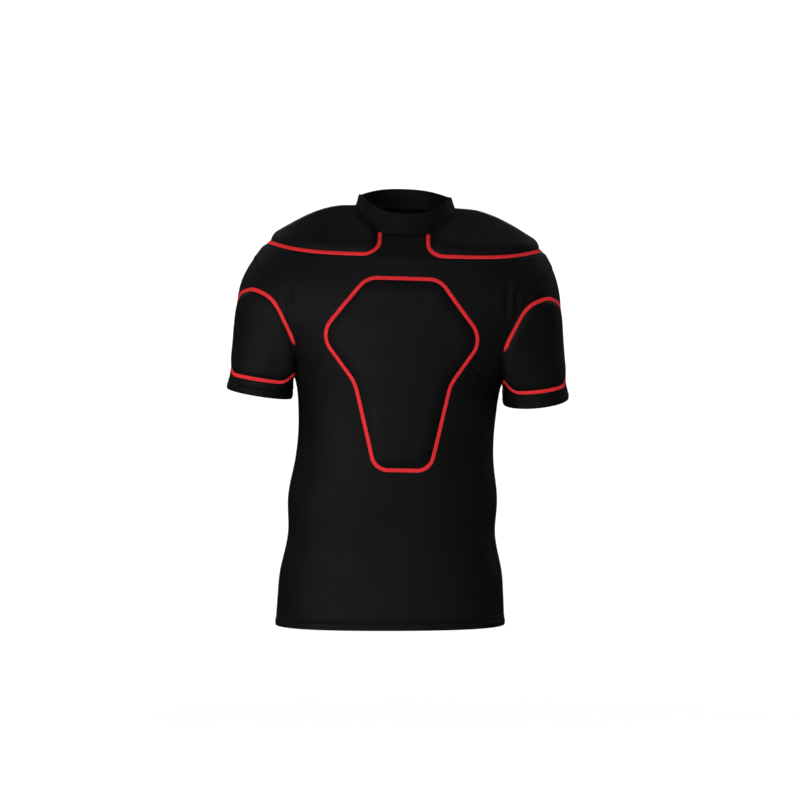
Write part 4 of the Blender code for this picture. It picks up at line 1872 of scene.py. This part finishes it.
@dataclass(frozen=True)
class Studio:
    """Plain pale floor that curves up into a round wall, soft lights, and the camera of the photo.

    The floor is a profile turned about the Z axis: flat, a quarter circle, then upright.
    """

    floor_height: float = -1.40
    flat_rings: tuple[float, float] = (0.02, 2.0)
    floor_reach: float = 5.0
    bend: float = 1.6
    wall_top: float = 4.2
    finish: StageFinish = StageFinish("pale_stage", (0.86, 0.86, 0.86), 0.05)
    camera_place: Place = (0.0, -4.0, -0.3008)
    lens: float = 112.5
    sensor: float = 36.0
    sky: float = 0.05
    lamps: tuple[Lamp, ...] = (
        Lamp("front_left", (-1.7, -3.4, -0.2), 52.0),
        Lamp("front", (-1.0, -3.7, -0.3), 36.0),
        Lamp("front_high", (0.0, -3.6, 1.4), 16.0),
        Lamp("front_right", (1.3, -3.5, 0.3), 18.0),
        Lamp("side_left", (-2.6, -2.2, -0.6), 44.0),
        Lamp("rim", (2.0, 1.3, 0.1), 1.5, (0.1, 0.0, -0.35), (0.5, 1.6)),
        Lamp("top", (0.3, 0.3, 2.2), 9.0, (0.0, 0.0, 0.0), (1.8, 1.6)),
        Lamp("back", (0.0, 3.6, 0.9), 100.0, size=(1.6, 1.2)),
        Lamp("back_left", (-1.5, 1.4, 0.2), 60.0, size=(0.8, 1.2), gloss=False),
        Lamp("back_right", (1.5, 1.4, 0.2), 60.0, size=(0.8, 1.2), gloss=False),
        Lamp("wall_behind_left", (-3.0, 2.4, 2.6), 100.0, (0.5, 6.5, -0.5), (1.6, 1.6)),
        Lamp("wall_behind_right", (3.0, 2.4, 2.6), 100.0, (-0.5, 6.5, -0.5), (1.6, 1.6)),
        Lamp("wall_ahead_left", (-3.0, -2.4, 2.6), 40.0, (0.5, -6.5, -0.5), (1.6, 1.6)),
        Lamp("wall_ahead_right", (3.0, -2.4, 2.6), 40.0, (-0.5, -6.5, -0.5), (1.6, 1.6)),
    )

    def floor(self) -> bpy.types.Object:
        """Make the floor with its wall.

        Returns:
            The new object.
        """
        angle, turn = np.linspace(0.0, QUARTER, 24), np.linspace(0.0, FULL_TURN, 96, endpoint=False)
        wall = self.floor_reach + self.bend
        reaches = np.concatenate((self.flat_rings, self.floor_reach + self.bend * np.sin(angle), (wall,)))
        bent = self.floor_height + self.bend * (1.0 - np.cos(angle))
        levels = np.concatenate(((self.floor_height,) * len(self.flat_rings), bent, (self.wall_top,)))
        radius, height = reaches[:, None], levels[:, None]
        points = np.stack(np.broadcast_arrays(radius * np.cos(turn), radius * np.sin(turn), height), axis=-1)
        number = np.arange(points[..., 0].size).reshape(points.shape[:2])
        after = np.roll(number, -1, axis=1)
        faces = np.stack((number[:-1], number[1:], after[1:], after[:-1]), axis=-1).reshape(-1, 4)
        piece = make_object("floor", points.reshape(-1, 3), [faces, number[:1]], worn=False)
        piece.data.materials.append(self.finish.material())
        piece.visible_glossy = False
        return piece

    def camera(self) -> bpy.types.Object:
        """Make the level camera in front of the top.

        Returns:
            The new object.
        """
        data = bpy.data.cameras.new("camera")
        data.lens, data.sensor_width = self.lens, self.sensor
        piece = linked("camera", data)
        piece.location = self.camera_place
        piece.rotation_euler = (QUARTER, 0.0, 0.0)
        bpy.context.scene.camera = piece
        return piece

    def build(self) -> None:
        """Make the floor, the lights, the sky above the wall and the camera."""
        self.floor()
        for lamp in self.lamps:
            lamp.build()
        world = bpy.data.worlds.new("sky")
        world.use_nodes = True
        shade = world.node_tree.nodes["Background"]
        shade.inputs["Color"].default_value = (1.0, 1.0, 1.0, 1.0)
        shade.inputs["Strength"].default_value = self.sky
        bpy.context.scene.world = world
        world.cycles_visibility.glossy = False
        bpy.context.scene.view_settings.view_transform = "Standard"
        self.camera()


# Creases of the panels, placed by X and Z
FRONT_CREASES = (
    Crease((0.1650, -0.108), (0.1672, -0.181), 0.0034, 0.0038, 0.002, 0.42),
    Crease((0.1815, -0.120), (0.1850, -0.170), 0.0030, 0.0030, -0.001, 0.40),
    Crease((-0.1725, -0.122), (-0.1715, -0.166), 0.0030, 0.0030, -0.001, 0.45),
    Crease((-0.1850, -0.134), (-0.1800, -0.178), 0.0032, 0.0018, 0.001, 0.55),
    Crease((0.1500, -0.272), (0.1020, -0.231), 0.0050, 0.0020, 0.003, 0.40),
    Crease((-0.1520, -0.270), (-0.1120, -0.236), 0.0046, 0.0018, -0.002, 0.42),
    Crease((-0.1550, -0.352), (-0.0980, -0.366), 0.0045, 0.0014, 0.002, 0.40),
    Crease((0.1540, -0.362), (0.1020, -0.379), 0.0048, 0.0015, -0.002, 0.38),
    Crease((0.1560, -0.392), (0.1180, -0.401), 0.0040, 0.0011, 0.001, 0.45),
    Crease((-0.0160, -0.428), (-0.0220, -0.640), 0.0280, 0.0016, 0.004, 0.50),
    Crease((0.0920, -0.300), (0.1020, -0.480), 0.0180, 0.0014, 0.003, 0.50),
    Crease((-0.1000, -0.668), (-0.0920, -0.598), 0.0065, 0.0009, 0.002, 0.30),
    Crease((0.0280, -0.668), (0.0330, -0.615), 0.0055, 0.0007, 0.001, 0.30),
    Crease((0.1160, -0.668), (0.1080, -0.590), 0.0070, 0.0010, -0.002, 0.32),
    Crease((-0.1820, -0.613), (-0.1430, -0.603), 0.0040, -0.0014, 0.001, 0.35),
    Crease((0.1840, -0.614), (0.1480, -0.606), 0.0040, -0.0012, 0.001, 0.35),
)
BACK_CREASES = (
    Crease((0.1680, -0.112), (0.1640, -0.186), 0.0044, 0.0022, 0.002, 0.45),
    Crease((0.1860, -0.128), (0.1830, -0.172), 0.0034, 0.0014, -0.001, 0.45),
    Crease((-0.1700, -0.116), (-0.1660, -0.178), 0.0040, 0.0020, -0.002, 0.42),
    Crease((0.1500, -0.270), (0.0950, -0.222), 0.0056, 0.0018, 0.004, 0.40),
    Crease((-0.1500, -0.272), (-0.1040, -0.230), 0.0050, 0.0015, -0.003, 0.42),
    Crease((-0.1050, -0.462), (0.0120, -0.476), 0.0070, 0.0020, -0.005, 0.45),
    Crease((0.1120, -0.470), (0.0050, -0.494), 0.0064, 0.0017, 0.004, 0.50),
    Crease((-0.0880, -0.504), (0.0450, -0.511), 0.0060, 0.0014, 0.003, 0.55),
    Crease((0.1280, -0.515), (0.0560, -0.527), 0.0056, 0.0011, 0.002, 0.40),
    Crease((-0.1300, -0.440), (-0.0700, -0.433), 0.0060, 0.0012, 0.002, 0.45),
    Crease((-0.0700, -0.668), (-0.0640, -0.590), 0.0075, 0.0011, 0.002, 0.30),
    Crease((0.0620, -0.668), (0.0550, -0.606), 0.0065, 0.0009, -0.002, 0.32),
)
# Creases of the sleeves, placed by the distance round the arm and down the sleeve
SLEEVE_CREASES = {
    Side.LEFT: (
        Crease((0.150, 0.012), (0.128, 0.072), 0.0042, 0.0016, 0.002, 0.40),
        Crease((0.176, 0.020), (0.186, 0.100), 0.0050, 0.0015, -0.002, 0.45),
        Crease((0.205, 0.016), (0.214, 0.084), 0.0046, 0.0013, 0.002, 0.42),
        Crease((0.232, 0.014), (0.250, 0.070), 0.0044, 0.0012, 0.002, 0.45),
    ),
    Side.RIGHT: (
        Crease((0.146, 0.014), (0.126, 0.060), 0.0040, 0.0014, 0.001, 0.45),
        Crease((0.172, 0.018), (0.180, 0.092), 0.0052, 0.0017, 0.002, 0.42),
        Crease((0.198, 0.020), (0.210, 0.096), 0.0044, 0.0012, -0.002, 0.48),
        Crease((0.236, 0.012), (0.256, 0.066), 0.0046, 0.0013, 0.002, 0.42),
    ),
}
# Creases of the collar, placed by the distance round the neck and up the band
COLLAR_CREASES = (
    Crease((0.058, 0.002), (0.070, 0.026), 0.0040, 0.0008, 0.001, 0.40),
    Crease((0.166, 0.003), (0.150, 0.024), 0.0044, 0.0009, 0.001, 0.42),
    Crease((0.190, 0.001), (0.182, 0.020), 0.0036, 0.0006, 0.001, 0.45),
    Crease((0.300, 0.002), (0.312, 0.024), 0.0050, 0.0007, 0.001, 0.45),
    Crease((0.372, 0.002), (0.362, 0.022), 0.0046, 0.0008, 0.001, 0.42),
)


# Differences between the two sides of the worn top: where each shoulder pad starts beside the middle line,
# and the direction that the left cuff faces, which is lower in front
SHOULDER_PAD_MIDDLE = {Side.LEFT: 0.034, Side.RIGHT: 0.042}
LEFT_CUFF_LINE = (0.130, 0.210, -0.969)
# Flat width and length of a sleeve's cut and its area, heights of the neck's two stitch rows as shares of the
# collar's, and the first seed of the black seams
SLEEVE_FLAT, SLEEVE_AREA = (0.36, 0.24), 0.048
NECK_ROWS = (0.10, 0.20)
BLACK_SEED = 20


class Top:
    """The whole top: cloth shells, pads and sewing."""

    def __init__(self) -> None:
        """Set out the forms that the pieces share."""
        self.body = BodyForm()
        self.armhole = ArmholeForm(self.body)
        self.sleeves = {
            Side.LEFT: SleeveForm(self.armhole, cuff_line=LEFT_CUFF_LINE),
            Side.RIGHT: SleeveForm(self.armhole),
        }
        self.collar = CollarForm(self.body)
        self.turning = Turning()
        self.wardrobe = Wardrobe.made()

    def cloth(self) -> list[BodyShell | SleeveShell | CollarShell]:
        """Shells of cloth with their flat cuts.

        Returns:
            The five shells.
        """
        sleeves = [
            SleeveShell(side, form, self.turning, SLEEVE_CREASES[side], SLEEVE_FLAT, SLEEVE_AREA)
            for side, form in self.sleeves.items()
        ]
        return [
            BodyShell(Face.FRONT, self.body, self.armhole, self.turning, FRONT_CREASES, (0.48, 0.66), 0.266),
            BodyShell(Face.BACK, self.body, self.armhole, self.turning, BACK_CREASES, (0.48, 0.70), 0.279),
            *sleeves,
            CollarShell(self.collar, COLLAR_CREASES, (0.44, 0.034)),
        ]

    def pads(self) -> list[Pad]:
        """Foam pads on the cloth.

        Returns:
            The five pads.
        """
        pads: list[Pad] = [SternumPad(self.body, Foam(0.0073, 0.024))]
        for side in Side:
            pads.append(ShoulderPad(side, self.body, Foam(0.0105, 0.020), middle=SHOULDER_PAD_MIDDLE[side]))
            pads.append(SleevePad(side, self.sleeves[side], Foam(0.0054, 0.013)))
        return pads

    def pad_seams(self) -> list[FlatSeam]:
        """Red flat seams round the pads.

        Returns:
            The five seams.
        """
        seams = []
        for seed, pad in enumerate(self.pads()):
            line = pad.sewn().spaced(SEAM_SPACING, SEAM_ROUNDING)
            sewing = SewingLine.on(line, line.points.mean(axis=0))
            seams.append(FlatSeam(pad.called("seam"), sewing, RED_SEAM, seed))
        return seams

    def panel_seams(self) -> list[FlatSeam]:
        """Black flat seams between the panels: armholes, sides and shoulder tips.

        Returns:
            Three seams of each side.
        """
        seams = []
        bottom, top = self.body.row_at(np.array((self.armhole.bottom, self.armhole.top)))
        side_rows, tip_rows = np.linspace(0.0, bottom, 300), np.linspace(top, TIP_ROW, 60)
        lines = {
            "armhole": self.armhole.patch(np.linspace(0.0, FULL_TURN, 600)),
            "side": self.body.patch(np.zeros_like(side_rows), side_rows),
            "tip": self.body.patch(np.zeros_like(tip_rows), tip_rows),
        }
        for seed, side in enumerate(Side):
            for kind, line in lines.items():
                sewing = SewingLine.on(line.mirrored(side).spaced(STITCH_SPACING))
                seams.append(FlatSeam(kind + "_seam_" + side.word, sewing, BLACK_SEAM, BLACK_SEED + seed))
        return seams

    def stitching(self) -> list[TopStitch]:
        """Straight stitches of the hem, the cuffs and the neck seam.

        Returns:
            The three groups of rows.
        """
        turn = np.linspace(-math.pi, math.pi, 900)
        neck = [self.collar.patch(turn, np.full_like(turn, share)) for share in NECK_ROWS]
        lines: dict[str, list[Patch]] = {"hem": [], "cuff": [], "neck": neck}
        seat = self.turning.thread_seat * self.turning.groove
        lifts = self.turning.offset(np.array(self.turning.stitch_rows), np.zeros(2)) + seat
        for row, lift in zip(self.turning.stitch_rows, lifts):
            at = np.full_like(turn, self.body.row_at(self.body.hem + row))
            lines["hem"].append(self.body.patch(turn, at).raised(lift))
            for side, sleeve in self.sleeves.items():
                cuff = sleeve.patch(turn, sleeve.above_cuff(turn, row)).mirrored(side)
                lines["cuff"].append(cuff.raised(lift))
        return [
            TopStitch(kind + "_stitches", tuple(SewingLine.on(row.spaced(STITCH_SPACING)) for row in rows))
            for kind, rows in lines.items()
        ]

    def build(self) -> None:
        """Make and dress every piece."""
        for part in (*self.cloth(), *self.pads(), *self.pad_seams(), *self.panel_seams(), *self.stitching()):
            part.dress(part.build(), self.wardrobe)


def main() -> None:
    """Load the frame, make the top and the studio."""
    logging.basicConfig(level=logging.INFO, format="%(name)s: %(message)s")
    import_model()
    Top().build()
    Studio().build()


if __name__ == "__main__":
    main()
